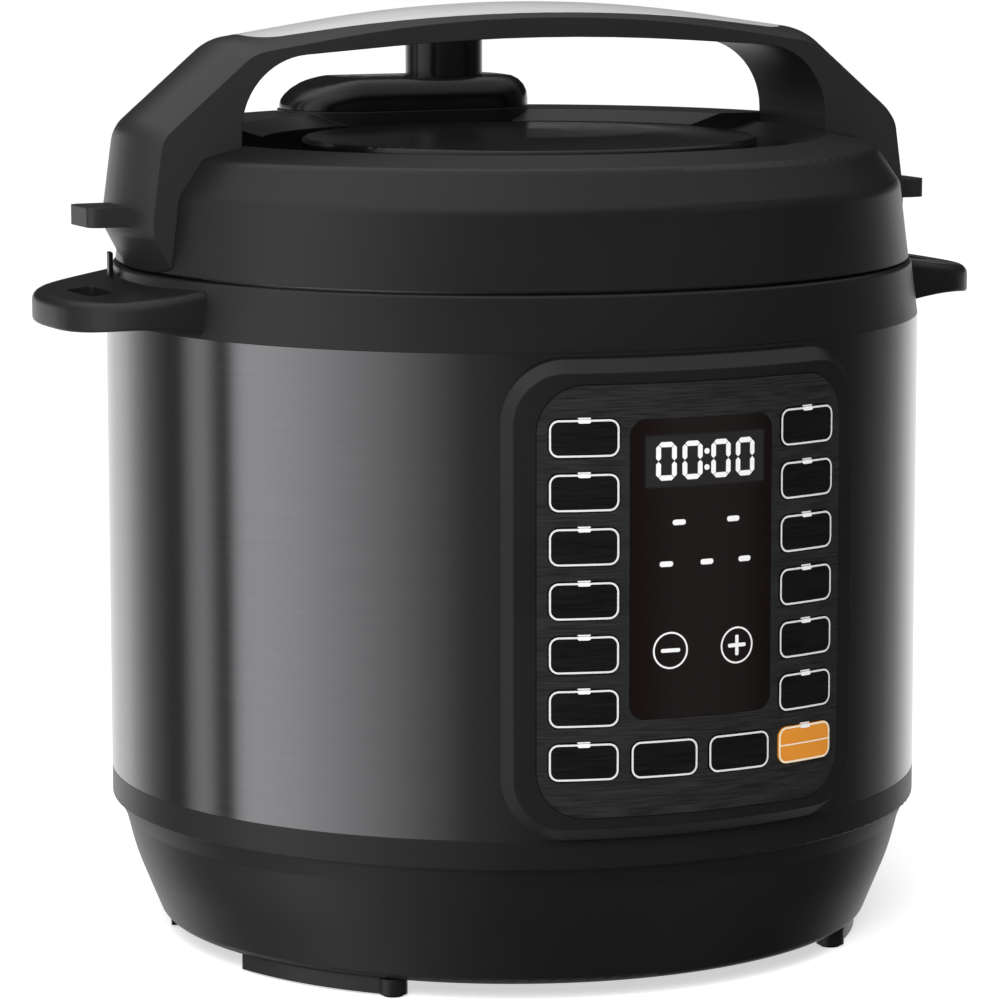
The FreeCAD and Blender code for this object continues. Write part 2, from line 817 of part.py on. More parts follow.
def bottom_cover():
    """Screwed plate that closes the bowl from inside its opening, with posts for the power board."""
    plate = round_ring("cover_plate", [
        (ZERO, BOWL_BOTTOM),
        (S.bowl_opening - S.seat_gap, BOWL_BOTTOM),
        (S.bowl_opening - S.seat_gap, BOWL_FLOOR),
        (S.bowl_opening + S.cover_flange, BOWL_FLOOR),
        (S.bowl_opening + S.cover_flange, COVER_TOP),
        (ZERO, COVER_TOP),
    ])
    reach_x = S.board_length / 2 - S.post_radius * 2
    reach_y = S.board_width / 2 - S.post_radius * 2
    corners = [(reach_x, reach_y), (-reach_x, reach_y), (reach_x, -reach_y), (-reach_x, -reach_y)]
    posts = []
    for index, (x, y) in enumerate(corners):
        posts.append(cylinder(f"board_post_{index}", S.post_radius, COVER_TOP, S.post_height, x, y))
    vents = []
    for index in range(int(S.vent_count.value)):
        middle = S.vent_pitch * (index - (S.vent_count.value - 1) / 2)
        low = (-(S.vent_length / 2), middle - S.vent_width / 2, BOWL_BOTTOM - S.cut_over)
        vents.append(box(f"vent_slot_{index}", low, (S.vent_length, S.vent_width, COVER_TOP)))
    vented = cut("cover_with_vents", plate, group("vent_slots", vents))
    solid = joined("cover_with_posts", [vented, *posts])
    screw_head = cylinder("screw_head", S.screw_head, BOWL_BOTTOM - S.screw_head_height, S.screw_head_height)
    shank = cylinder("screw_shank", S.screw_shank, BOWL_BOTTOM, COVER_TOP - BOWL_BOTTOM)
    screw = joined("cover_screw", [screw_head, shank])
    doc.recompute()
    places = quarter_circle_places(S.screw_circle)
    screws = spread("cover_screws", screw, places)
    holes = spread("cover_screw_holes", shank, places)
    return [cut("bottom_cover", solid, holes), screws]


def lower_ring():
    """Plastic band between the bowl and the steel shell, with a tongue inside the shell."""
    tongue = SHELL_INSIDE - S.seat_gap
    return round_ring("lower_ring", [
        (S.shell_radius, RING_BOTTOM, S.ring_round),
        (S.shell_radius, S.shell_bottom),
        (tongue, S.shell_bottom),
        (tongue, S.shell_bottom + S.tongue_height),
        (RING_INSIDE, S.shell_bottom + S.tongue_height),
        (RING_INSIDE, RING_BOTTOM),
    ])


def outer_shell():
    """Rolled steel sheet with a window behind the key panel."""
    shell = round_ring("outer_shell", [
        (SHELL_INSIDE, S.shell_bottom),
        (S.shell_radius, S.shell_bottom),
        (S.shell_radius, SHELL_TOP),
        (SHELL_INSIDE, SHELL_TOP),
    ])
    sketch = new_sketch(shell, "XZ_Plane", "window", S.shell_radius / 2)
    half = S.window_width / 2
    top = WINDOW_BOTTOM + WINDOW_HEIGHT
    corner = S.window_corner
    outline(sketch, [
        (-half, WINDOW_BOTTOM, corner),
        (half, WINDOW_BOTTOM, corner),
        (half, top, corner),
        (-half, top, corner),
    ])
    pocket(shell, sketch, S.shell_radius, up=True)
    return shell


def upper_collar():
    """Plastic collar on the shell; its moat takes the lid's skirt and carries the outer pot."""
    tongue = SHELL_INSIDE - S.seat_gap
    return round_ring("upper_collar", [
        (S.shell_radius, SHELL_TOP),
        (COLLAR_TOP_RADIUS, COLLAR_TOP, S.collar_round),
        (MOAT_WALL, COLLAR_TOP),
        (MOAT_WALL, MOAT_FLOOR),
        (S.liner_radius + S.seat_gap, MOAT_FLOOR),
        (S.liner_radius + S.seat_gap, MOAT_FLOOR - S.moat_floor),
        (tongue, MOAT_FLOOR - S.moat_floor),
        (tongue, SHELL_TOP),
    ])


def side_handles():
    """Two flat grips on the collar, each with a slot that parks the lid and a small upright guard."""
    root = S.shell_radius - S.collar_draft * 2
    tip = S.shell_radius + S.grip_reach
    bottom = SHELL_TOP + S.grip_drop
    top = bottom + S.grip_root_height
    plan = new_body("grip_plan")
    sketch = new_sketch(plan, "XY_Plane", "grip_plan_outline", bottom)
    outline(sketch, [
        (root, -(S.grip_root_width / 2)),
        (S.shell_radius, -(S.grip_root_width / 2), S.grip_root_round),
        (tip, -(S.grip_tip_width / 2), S.grip_corner),
        (tip, S.grip_tip_width / 2, S.grip_corner),
        (S.shell_radius, S.grip_root_width / 2, S.grip_root_round),
        (root, S.grip_root_width / 2),
    ])
    pad(plan, sketch, S.grip_root_height)
    hole = new_sketch(plan, "XY_Plane", "slot_outline", bottom)
    near = S.shell_radius + S.slot_offset - S.slot_width / 2
    far = near + S.slot_width
    half = S.slot_length / 2
    corner = S.slot_corner
    outline(hole, [(near, -half, corner), (far, -half, corner), (far, half, corner), (near, half, corner)])
    pocket(plan, hole, S.grip_root_height, up=True)
    side = new_body("grip_side")
    profile = new_sketch(side, "XZ_Plane", "grip_side_outline")
    tip_bottom = bottom + S.grip_tip_rise
    outline(profile, [
        (root, bottom),
        (S.shell_radius + S.grip_under_flat, bottom, S.grip_under_round),
        (tip, tip_bottom, S.grip_tip_round),
        (tip, tip_bottom + S.grip_tip_height, S.grip_tip_round),
        (S.shell_radius + S.slot_offset, top, S.grip_top_round),
        (root, top),
    ])
    pad(side, profile, S.grip_root_width, both_ways=True)
    collar = round_ring("grip_seat", [
        (ZERO, SHELL_TOP),
        (S.shell_radius, SHELL_TOP),
        (COLLAR_TOP_RADIUS, COLLAR_TOP),
        (COLLAR_TOP_RADIUS, COLLAR_TOP + S.guard_height * 2),
        (ZERO, COLLAR_TOP + S.guard_height * 2),
    ])
    low = (S.shell_radius + S.guard_gap, S.guard_place - S.guard_width / 2, top - S.guard_root)
    guard = box("guard", low, (S.guard_wall, S.guard_width, S.guard_height + S.guard_root))
    grip = joined("grip_with_guard", [common("grip_form", plan, side), guard])
    right = cut("side_handle_right", grip, collar)
    left = mirrored("side_handle_left", right, FreeCAD.Vector(1, 0, 0))
    return [right, left]


def outer_pot():
    """Drawn steel outer pot: it hangs on a bead in the collar's moat and carries the bayonet teeth."""
    pot = round_ring("outer_pot", [
        (S.liner_hole, S.liner_floor),
        (S.liner_radius, S.liner_floor, S.liner_corner),
        (S.liner_radius, MOAT_FLOOR),
        (S.liner_radius + S.bead_reach, MOAT_FLOOR),
        (S.liner_radius + S.bead_reach, MOAT_FLOOR + S.bead_height),
        (S.liner_radius, MOAT_FLOOR + S.bead_height),
        (S.liner_radius, LINER_TOP),
        (LINER_INSIDE, LINER_TOP),
        (LINER_INSIDE, LINER_FLOOR_TOP, S.liner_corner - S.liner_sheet),
        (S.liner_hole, LINER_FLOOR_TOP),
    ])
    sketch = sector(pot, "tooth_plan", LINER_TOP - S.tooth_thick, LINER_INSIDE + S.liner_sheet / 2,
                    S.liner_radius + S.tooth_reach, -(S.tooth_angle / 2), S.tooth_angle / 2)
    tooth = pad(pot, sketch, S.tooth_thick)
    around(pot, tooth, S.tooth_count)
    return pot


def inner_pot():
    """Lift-out cooking pot with a flat rim, standing on the heating plate."""
    inside = S.pot_radius - S.pot_sheet
    return round_ring("inner_pot", [
        (ZERO, PLATE_TOP),
        (S.pot_radius, PLATE_TOP, S.pot_corner),
        (S.pot_radius, POT_RIM),
        (S.pot_radius + S.pot_rim_reach, POT_RIM),
        (S.pot_radius + S.pot_rim_reach, POT_TOP),
        (inside, POT_TOP),
        (inside, PLATE_TOP + S.pot_sheet, S.pot_corner - S.pot_sheet),
        (ZERO, PLATE_TOP + S.pot_sheet),
    ])


def heater():
    """Cast heating plate on a hub ring, with a sprung temperature sensor in a cradle at its centre."""
    under = PLATE_TOP - S.plate_thick
    plate = round_ring("heating_plate", [
        (S.sensor_hole, PLATE_TOP),
        (S.plate_radius, PLATE_TOP),
        (S.plate_radius, PLATE_TOP - S.plate_edge),
        (S.plate_hub_radius, under),
        (S.plate_hub_radius, LINER_FLOOR_TOP),
        (S.plate_hub_radius - S.plate_hub_wall, LINER_FLOOR_TOP),
        (S.plate_hub_radius - S.plate_hub_wall, under),
        (S.sensor_hole, under),
    ])
    sensor_top = PLATE_TOP - S.sensor_sink
    cap_under = sensor_top - S.sensor_cap
    sensor = round_ring("temperature_sensor", [
        (ZERO, sensor_top),
        (S.sensor_radius, sensor_top, S.sensor_round),
        (S.sensor_radius, cap_under),
        (S.sensor_stem, cap_under),
        (S.sensor_stem, sensor_top - S.sensor_length),
        (ZERO, sensor_top - S.sensor_length),
    ])
    cradle = round_ring("sensor_cradle", [
        (S.sensor_stem + S.slide_gap, S.liner_floor),
        (S.liner_hole + S.bead_reach, S.liner_floor),
        (S.liner_hole + S.bead_reach, S.liner_floor - S.cradle_wall),
        (S.sensor_stem + S.slide_gap, S.liner_floor - S.cradle_wall),
    ])
    coil = spring("sensor_spring", S.spring_radius, S.spring_wire, S.liner_floor, cap_under,
                  S.spring_turns, ZERO, ZERO)
    return [plate, sensor, cradle, coil]


def base_electrics():
    """Pressure switch and thermal fuse under the outer pot, power board on the bottom cover."""
    switch_low = S.liner_floor - S.switch_height
    switch = joined("pressure_switch", [
        box("switch_body", (S.switch_place - S.switch_length / 2, -(S.switch_width / 2), switch_low),
            (S.switch_length, S.switch_width, S.switch_height)),
        cylinder("switch_stem", S.sensor_stem, switch_low - S.switch_stem, S.switch_stem, S.switch_place),
    ])
    fuse_tube = cylinder("fuse_tube", S.fuse_radius, ZERO, S.fuse_length)
    fuse_tube.setExpression("Placement.Base.z", (S.liner_floor - S.fuse_radius - S.board_thick).text)
    fuse_tube.Placement.Rotation = FreeCAD.Rotation(FreeCAD.Vector(0, 1, 0), 90)
    fuse_tube.setExpression("Placement.Base.x", (-(S.switch_place + S.fuse_length / 2)).text)
    reach = S.fuse_radius + S.fuse_ear
    strap_low = (-(S.switch_place + S.fuse_strap / 2), -reach, S.liner_floor - S.board_thick - S.fuse_radius)
    strap = box("fuse_clip", strap_low, (S.fuse_strap, reach * 2, S.board_thick + S.fuse_radius))
    fuse = joined("thermal_fuse", [fuse_tube, strap])
    left = -(S.board_length / 2)
    front = -(S.board_width / 2)
    deck = BOARD_BOTTOM + S.board_thick
    board = joined("power_board", [
        box("board_sheet", (left, front, BOARD_BOTTOM), (S.board_length, S.board_width, S.board_thick)),
        box("relay", (left + S.relay_x, front + S.relay_y, deck), (S.relay_length, S.relay_width,
                                                                   S.relay_height)),
        box("choke", (left + S.coil_x, front + S.coil_y, deck), (S.coil_length, S.coil_length,
                                                                 S.coil_height)),
        cylinder("capacitor", S.capacitor_radius, deck, S.capacitor_height, left + S.capacitor_x,
                 front + S.capacitor_y),
    ])
    return [switch, fuse, board]


def power_inlet():
    """Socket for a lead at the back of the bowl, with its contact blades."""
    low = S.inlet_middle - S.inlet_height / 2
    back = S.inlet_face - S.inlet_depth
    case = box("inlet_case", (-(S.inlet_width / 2), back, low), (S.inlet_width, S.inlet_depth,
                                                                 S.inlet_height))
    inside = box("inlet_inside", (-(S.inlet_width / 2) + S.inlet_wall, back + S.inlet_wall,
                                  low + S.inlet_wall),
                 (S.inlet_width - S.inlet_wall * 2, S.inlet_depth, S.inlet_height - S.inlet_wall * 2))
    blades = []
    places = [(-S.blade_pitch, -S.blade_rise), (ZERO, S.blade_rise), (S.blade_pitch, -S.blade_rise)]
    for index, (x, z) in enumerate(places):
        low_corner = (x - S.blade_thick / 2, back + S.inlet_wall, S.inlet_middle + z - S.blade_width / 2)
        blades.append(box(f"blade_{index}", low_corner, (S.blade_thick, S.blade_length, S.blade_width)))
    return [cut("power_inlet", case, inside), group("inlet_pins", blades)]


def key_places():
    """Each key's name, column and row; columns count in pitches from the panel's middle."""
    keys = []
    for row in range(int(S.key_rows.value)):
        keys.append((f"key_left_{row + 1}", -1.5, row))
        name = "key_cancel" if row == S.key_rows.value - 1 else f"key_right_{row + 1}"
        keys.append((name, 1.5, row))
    keys.append(("key_bottom_left", -0.5, int(S.key_rows.value) - 1))
    keys.append(("key_bottom_right", 0.5, int(S.key_rows.value) - 1))
    return keys


def key_panel():
    """Moulded bezel on the shell, a face plate with sixteen keys, a display window and its boards."""
    gap = S.seat_gap
    proud = FACE_RADIUS + S.cut_over
    bezel_width = S.face_width + S.bezel_side * 2
    block = curved_tile("bezel_block", BEZEL_BACK, BEZEL_RADIUS, bezel_width, FACE_BOTTOM - S.bezel_end,
                        FACE_HEIGHT + S.bezel_end * 2, S.bezel_corner)
    block_tip = block.Tip
    edges = []
    for index, edge in enumerate(block_tip.Shape.Edges, start=1):
        radii = [math.hypot(vertex.Point.x, vertex.Point.y) for vertex in edge.Vertexes]
        middle = edge.valueAt((edge.FirstParameter + edge.LastParameter) / 2)
        radii.append(math.hypot(middle.x, middle.y))
        if min(radii) > BEZEL_RADIUS.value - 0.01:
            edges.append(f"Edge{index}")
    bevel = block.newObject("PartDesign::Chamfer", "bezel_bevel")
    bevel.Base = (block_tip, edges)
    set_size(bevel, "Size", S.bezel_chamfer)
    face = curved_tile("face_blank", FACE_FLOOR, FACE_RADIUS, S.face_width, FACE_BOTTOM, FACE_HEIGHT,
                       S.face_corner)
    seat = curved_tile("face_seat", FACE_FLOOR, proud, S.face_width + gap * 2, FACE_BOTTOM - gap,
                       FACE_HEIGHT + gap * 2,
                       S.face_corner + gap, wide_at=FACE_RADIUS)
    rest = S.glass_rest * 2
    opening = curved_tile("glass_opening", BEZEL_BACK - S.cut_over, proud, S.glass_width - rest,
                          GLASS_BOTTOM + S.glass_rest, GLASS_HEIGHT - rest, S.glass_corner,
                          wide_at=FACE_RADIUS)
    post_x = S.window_width / 2 - S.control_post_inset
    post_low = WINDOW_BOTTOM + S.control_post_inset
    post_high = WINDOW_BOTTOM + WINDOW_HEIGHT - S.control_post_inset
    posts = []
    for x, z in ((post_x, post_low), (post_x, post_high), (-post_x, post_low), (-post_x, post_high)):
        post = cylinder(f"control_post_{len(posts)}", S.control_post_radius, ZERO, BEZEL_BACK - BOARD_BACK)
        place(post, x, -BOARD_BACK, z)
        post.Placement.Rotation = FreeCAD.Rotation(FreeCAD.Vector(1, 0, 0), 90)
        posts.append(post)
    shaped = cut("bezel_with_seat", block, group("bezel_hollows", [seat, opening]))
    housing = joined("panel_housing", [shaped, *posts])
    glass_hole = curved_tile("glass_hole", FACE_FLOOR - S.cut_over, proud, S.glass_width + gap * 2,
                             GLASS_BOTTOM - gap,
                             GLASS_HEIGHT + gap * 2, S.glass_corner + gap, wide_at=FACE_RADIUS)
    glass = curved_tile("display_window", FACE_FLOOR, FACE_RADIUS - S.glass_sink, S.glass_width, GLASS_BOTTOM,
                        GLASS_HEIGHT, S.glass_corner, wide_at=FACE_RADIUS)
    keys = []
    holes = [glass_hole]
    key_face = FACE_RADIUS + S.key_proud
    room = S.key_gap
    for name, column, row in key_places():
        angle = degrees_of_arc(S.key_column_pitch, FACE_RADIUS) * column
        bottom = KEY_FIRST_ROW - KEY_ROW_PITCH * row - S.key_height / 2
        keys.append(curved_tile(name, FACE_FLOOR + S.key_travel_room, key_face, S.key_width, bottom,
                                S.key_height,
                                S.key_corner, angle))
        holes.append(curved_tile(name + "_hole", FACE_FLOOR - S.cut_over, proud,
                                 S.key_width + room * 2, bottom - room,
                                 S.key_height + room * 2, S.key_corner + room, angle, wide_at=key_face))
    plate = cut("face_plate", face, group("face_holes", holes))
    board = box("control_board", (-(S.control_board_width / 2), -BOARD_BACK, WINDOW_BOTTOM),
                (S.control_board_width, S.board_thick, WINDOW_HEIGHT))
    digits_low = FACE_TOP - S.digits_drop - S.digits_height / 2
    digits = box("display_module", (-(S.digits_width / 2), -BOARD_BACK - S.digits_depth, digits_low),
                 (S.digits_width, S.digits_depth, S.digits_height))
    return [housing, plate, glass, board, digits, *keys]


def condensation_cup():
    """Open drip cup that slides off a bracket at the back of the shell."""
    back = size(180)
    wall = S.cup_wall
    outside = CUP_INSIDE + S.cup_depth
    bracket = curved_tile("cup_bracket", S.shell_radius, BRACKET_FACE, S.cup_width - S.bracket_margin * 2,
                          CUP_BOTTOM + S.bracket_margin, S.cup_height - S.bracket_margin,
                          S.cup_corner / 2, back)
    blank = curved_tile("cup_blank", CUP_INSIDE, outside, S.cup_width, CUP_BOTTOM, S.cup_height,
                        S.cup_corner, back)
    inside = curved_tile("cup_inside", CUP_INSIDE + wall, outside - wall, S.cup_width - wall * 2,
                         CUP_BOTTOM + wall,
                         S.cup_height + S.cup_corner, S.cup_corner - wall, back)
    return [bracket, cut("condensation_cup", blank, inside)]


def valve_plan(body, name, level, margin):
    """The valve cover's rounded plan, grown by a margin."""
    sketch = new_sketch(body, "XY_Plane", name, level)
    half_length = S.valve_length / 2 + margin
    half_width = S.valve_width / 2 + margin
    corners = []
    for x, y in ((1, -1), (1, 1), (-1, 1), (-1, -1)):
        corners.append((S.valve_x + half_length * x, S.valve_y + half_width * y,
                        half_width - S.valve_end_flat / 2))
    outline(sketch, corners)
    return sketch


def lid_cover():
    """Moulded lid cover: a sloping rim round a sunk well, with a raised deck behind for the valve."""
    shell = S.lid_shell
    cover = round_ring("lid_shell_form", [
        (S.lid_radius, LID_BOTTOM),
        (S.lid_wall_radius, LID_WALL_TOP, S.lid_wall_round),
        (S.lid_bevel_radius, LID_BEVEL_TOP, S.lid_bevel_round),
        (S.lid_rim_radius, LID_RIM_TOP),
        (S.lid_well_radius, BAND_BOTTOM),
        (S.lid_well_radius - S.lid_well_taper, WELL_FLOOR),
        (ZERO, WELL_FLOOR),
        (ZERO, WELL_UNDER),
        (S.lid_well_radius, WELL_UNDER),
        (S.lid_rim_radius, LID_RIM_TOP - S.lid_under_drop),
        (S.lid_bevel_radius - shell, LID_BEVEL_TOP - shell),
        (S.lid_wall_radius - shell, LID_WALL_TOP - shell),
        (S.lid_radius - shell, LID_BOTTOM),
    ])
    slab = round_ring("deck_slab", [
        (ZERO, WELL_UNDER),
        (S.lid_well_radius, WELL_UNDER),
        (S.lid_rim_radius, LID_RIM_TOP - shell),
        (S.deck_radius, LID_BEVEL_TOP - shell / 2),
        (S.deck_radius, DECK_TOP - S.deck_bevel),
        (S.deck_radius - S.deck_bevel_reach, DECK_TOP),
        (ZERO, DECK_TOP),
    ])
    deck_front = S.arch_half_width + S.slide_gap
    behind = box("deck_half", (-S.deck_radius, deck_front, WELL_UNDER), (S.deck_radius * 2,
                                                                         S.deck_radius, S.deck_radius))
    clear = S.dome_radius + S.dome_gap
    bowl = round_ring("deck_bite", [
        (ZERO, WELL_FLOOR),
        (clear, WELL_FLOOR),
        (clear, WELL_FLOOR + S.deck_lip),
        (clear + S.deck_slope, DECK_TOP),
        (clear + S.deck_slope, DECK_TOP + S.cut_over),
        (ZERO, DECK_TOP + S.cut_over),
    ])
    place(bowl, ZERO, S.dome_place, ZERO)
    deck = cut("valve_deck", common("deck_behind", slab, behind), bowl)
    step = new_body("valve_seat_form")
    pad(step, valve_plan(step, "valve_seat_plan", WELL_UNDER, S.valve_seat_margin), VALVE_SEAT - WELL_UNDER)
    under = round_ring("valve_seat_under", [
        (ZERO, WELL_UNDER - S.cut_over),
        (S.deck_radius + S.cut_over, WELL_UNDER - S.cut_over),
        (S.deck_radius, LID_BEVEL_TOP - shell / 2),
        (S.lid_rim_radius, LID_RIM_TOP - shell),
        (S.lid_well_radius, WELL_UNDER),
        (ZERO, WELL_UNDER),
    ])
    seat = cut("valve_seat", step, under)
    bosses = []
    holes = []
    for index, (x, y) in enumerate(quarter_circle_places(S.boss_circle)):
        bosses.append(cylinder(f"lid_boss_{index}", S.boss_radius, CROWN_TOP, WELL_UNDER - CROWN_TOP, x, y))
        holes.append(cylinder(f"lid_boss_hole_{index}", S.screw_shank, CROWN_TOP, S.boss_radius * 2, x, y))
    pin_hole = S.float_radius + S.slide_gap
    for name, x, radius in (("vent_hole", S.knob_x, S.vent_radius), ("float_hole", S.float_x, pin_hole)):
        holes.append(cylinder(f"cover_{name}", radius, WELL_UNDER - S.cut_over, S.deck_height * 3, x,
                              S.valve_y))
    whole = joined("lid_cover_form", [cover, deck, seat, *bosses])
    edge = WELL_FLOOR + S.dome_edge
    dome = round_ring("lid_dome", [
        (ZERO, WELL_FLOOR),
        (S.dome_radius, WELL_FLOOR),
        (S.dome_radius, edge, S.dome_edge_round),
        (S.dome_shoulder, edge + S.dome_shoulder_rise, S.dome_round),
        (ZERO, edge + S.dome_rise),
    ])
    place(dome, ZERO, S.dome_place, ZERO)
    return [cut("lid_cover", whole, group("lid_cover_holes", holes)), dome]


def pressure_lid():
    """Steel pressure lid with inward bayonet lugs, its sealing ring, ring rack and screws."""
    lid = round_ring("pressure_lid_form", [
        (S.skirt_radius, SKIRT_BOTTOM),
        (S.skirt_radius, SKIRT_TOP, S.skirt_round),
        (S.crown_edge, SKIRT_TOP),
        (S.crown_radius, CROWN_TOP),
        (ZERO, CROWN_TOP),
        (ZERO, CROWN_UNDER),
        (S.crown_radius - S.skirt_sheet / 2, CROWN_UNDER),
        (S.crown_edge - S.skirt_sheet / 2, SKIRT_UNDER),
        (SKIRT_INSIDE, SKIRT_UNDER),
        (SKIRT_INSIDE, SKIRT_BOTTOM),
    ])
    half_pitch = size(180) / S.tooth_count
    sketch = sector(lid, "lug_plan", SKIRT_BOTTOM, SKIRT_INSIDE - S.lug_reach,
                    SKIRT_INSIDE + S.skirt_sheet / 2,
                    half_pitch - S.tooth_angle / 2, half_pitch + S.tooth_angle / 2)
    lug = pad(lid, sketch, S.lug_thick)
    around(lid, lug, S.tooth_count)
    places = quarter_circle_places(S.boss_circle)
    below = CROWN_UNDER - S.cut_over
    through = S.skirt_sheet + S.cut_over * 2
    holes = []
    for index, (x, y) in enumerate(places):
        holes.append(cylinder(f"crown_screw_hole_{index}", S.screw_shank, below, through, x, y))
    pin_hole = S.float_radius + S.slide_gap
    for name, x, radius in (("vent", S.knob_x, S.vent_radius), ("float", S.float_x, pin_hole)):
        holes.append(cylinder(f"crown_{name}_hole", radius, below, through, x, S.valve_y))
    plate = cut("pressure_lid", lid, group("crown_holes", holes))
    head = cylinder("lid_screw_head", S.screw_head, CROWN_UNDER - S.screw_head_height, S.screw_head_height)
    shank = cylinder("lid_screw_shank", S.screw_shank, CROWN_UNDER, S.skirt_sheet + S.boss_radius * 2)
    screw = joined("lid_screw", [head, shank])
    doc.recompute()
    seal_bottom = POT_TOP + S.seal_lift
    inside = S.seal_radius - S.seal_width
    seal = round_ring("sealing_ring", [
        (S.seal_radius, seal_bottom),
        (S.seal_radius, seal_bottom + S.seal_height),
        (inside, seal_bottom + S.seal_height),
        (inside, seal_bottom + S.seal_height / 2),
        (inside + S.seal_width / 2, seal_bottom + S.seal_height / 4),
        (inside, seal_bottom),
    ])
    rack_radius = inside - S.rack_wire
    rack = new_body("ring_rack")
    sketch = new_sketch(rack, "XZ_Plane", "rack_section")
    circle(sketch, (rack_radius, seal_bottom + S.seal_height * 0.75), S.rack_wire)
    turned(rack, sketch)
    return [plate, spread("lid_screws", screw, places), seal, rack]


def lid_handle():
    """Arched handle over the lid with crowned outer faces, parking fins and a metal trim strip."""
    body = new_body("lid_handle_form")
    level = LID_BOTTOM
    bow = S.arch_corner_reach * S.arch_corner_reach / (S.arch_peak - S.arch_corner_height) * S.arch_bow
    sections = []
    for index, (offset, out) in enumerate(((-S.arch_half_width, ZERO), (ZERO, S.arch_crown),
                                           (S.arch_half_width, ZERO))):
        sketch = new_sketch(body, "XZ_Plane", f"arch_section_{index}", offset)
        cheek = S.arch_cheek_reach + out
        right = [
            (S.arch_tip_radius - S.arch_crown + out, level),
            (cheek, level + S.arch_cheek_low, S.arch_cheek_low_round),
            (cheek, level + S.arch_cheek_high, S.arch_cheek_high_round),
            (S.arch_shoulder_reach + out, level + S.arch_shoulder_height + out, S.arch_shoulder_round),
            (S.arch_corner_reach + out, level + S.arch_corner_height + out, S.arch_corner_round),
        ]
        crown = [(ZERO, level + S.arch_peak + out, bow)]
        left = [(-corner[0], *corner[1:]) for corner in reversed(right)]
        outline(sketch, right + crown + left)
        sections.append(sketch)
    loft = body.newObject("PartDesign::AdditiveLoft", "arch_loft")
    loft.Profile = sections[0]
    loft.Sections = sections[1:]
    loft.Ruled = False
    gap = new_sketch(body, "XZ_Plane", "finger_gap")
    side = S.grip_gap_reach
    shoulder = side - S.grip_gap_lean
    gap_bow = shoulder * shoulder / (S.grip_gap_peak - S.grip_gap_side) * S.grip_gap_bow
    outline(gap, [
        (side, level),
        (shoulder, level + S.grip_gap_side, S.grip_gap_round),
        (ZERO, level + S.grip_gap_peak, gap_bow),
        (-shoulder, level + S.grip_gap_side, S.grip_gap_round),
        (-side, level),
    ])
    pocket(body, gap, S.arch_half_width * 3, both_ways=True)
    seat = new_sketch(body, "XZ_Plane", "lid_seat")
    outline(seat, [
        (ZERO, level - S.cut_over),
        (S.lid_radius, level - S.cut_over),
        (S.lid_radius, level),
        (S.lid_wall_radius, LID_WALL_TOP, S.lid_wall_round),
        (S.lid_bevel_radius, LID_BEVEL_TOP, S.lid_bevel_round),
        (S.lid_rim_radius, LID_RIM_TOP),
        (ZERO, LID_RIM_TOP),
    ])
    turned(body, seat, "PartDesign::Groove")
    fin = new_body("parking_fin")
    sketch = new_sketch(fin, "XY_Plane", "fin_plan", level + S.fin_rise)
    root = S.lid_radius + S.fin_root
    half = S.fin_width / 2
    corner = S.fin_corner
    outline(sketch, [(root, -half), (S.fin_reach, -half, corner), (S.fin_reach, half, corner), (root, half)])
    pad(fin, sketch, S.fin_height)
    other = mirrored("parking_fin_left", fin, FreeCAD.Vector(1, 0, 0))
    whole = joined("handle_with_fins", [body, fin, other])
    strip = new_body("trim_plan")
    sketch = new_sketch(strip, "XY_Plane", "trim_outline", level + S.arch_shoulder_height)
    reach = S.trim_length / 2
    end = S.trim_end_width / 2
    peak = S.trim_peak_width / 2
    trim_bow = reach * reach / (peak - end) * S.trim_bow
    outline(sketch, [
        (reach, -end, S.trim_corner),
        (reach, end, S.trim_corner),
        (ZERO, peak, trim_bow),
        (-reach, end, S.trim_corner),
        (-reach, -end, S.trim_corner),
        (ZERO, -peak, trim_bow),
    ])
    pad(strip, sketch, S.arch_peak)
    doc.recompute()
    lowered = doc.addObject("Part::Feature", "handle_below_trim")
    lowered.Shape = body.Shape.translated(FreeCAD.Vector(0, 0, -S.trim_depth.value))
    inlay_zone = cut("trim_zone", strip, lowered)
    inlay = common("handle_trim", inlay_zone, body)
    handle = cut("lid_handle", whole, inlay_zone)
    return [handle, inlay]


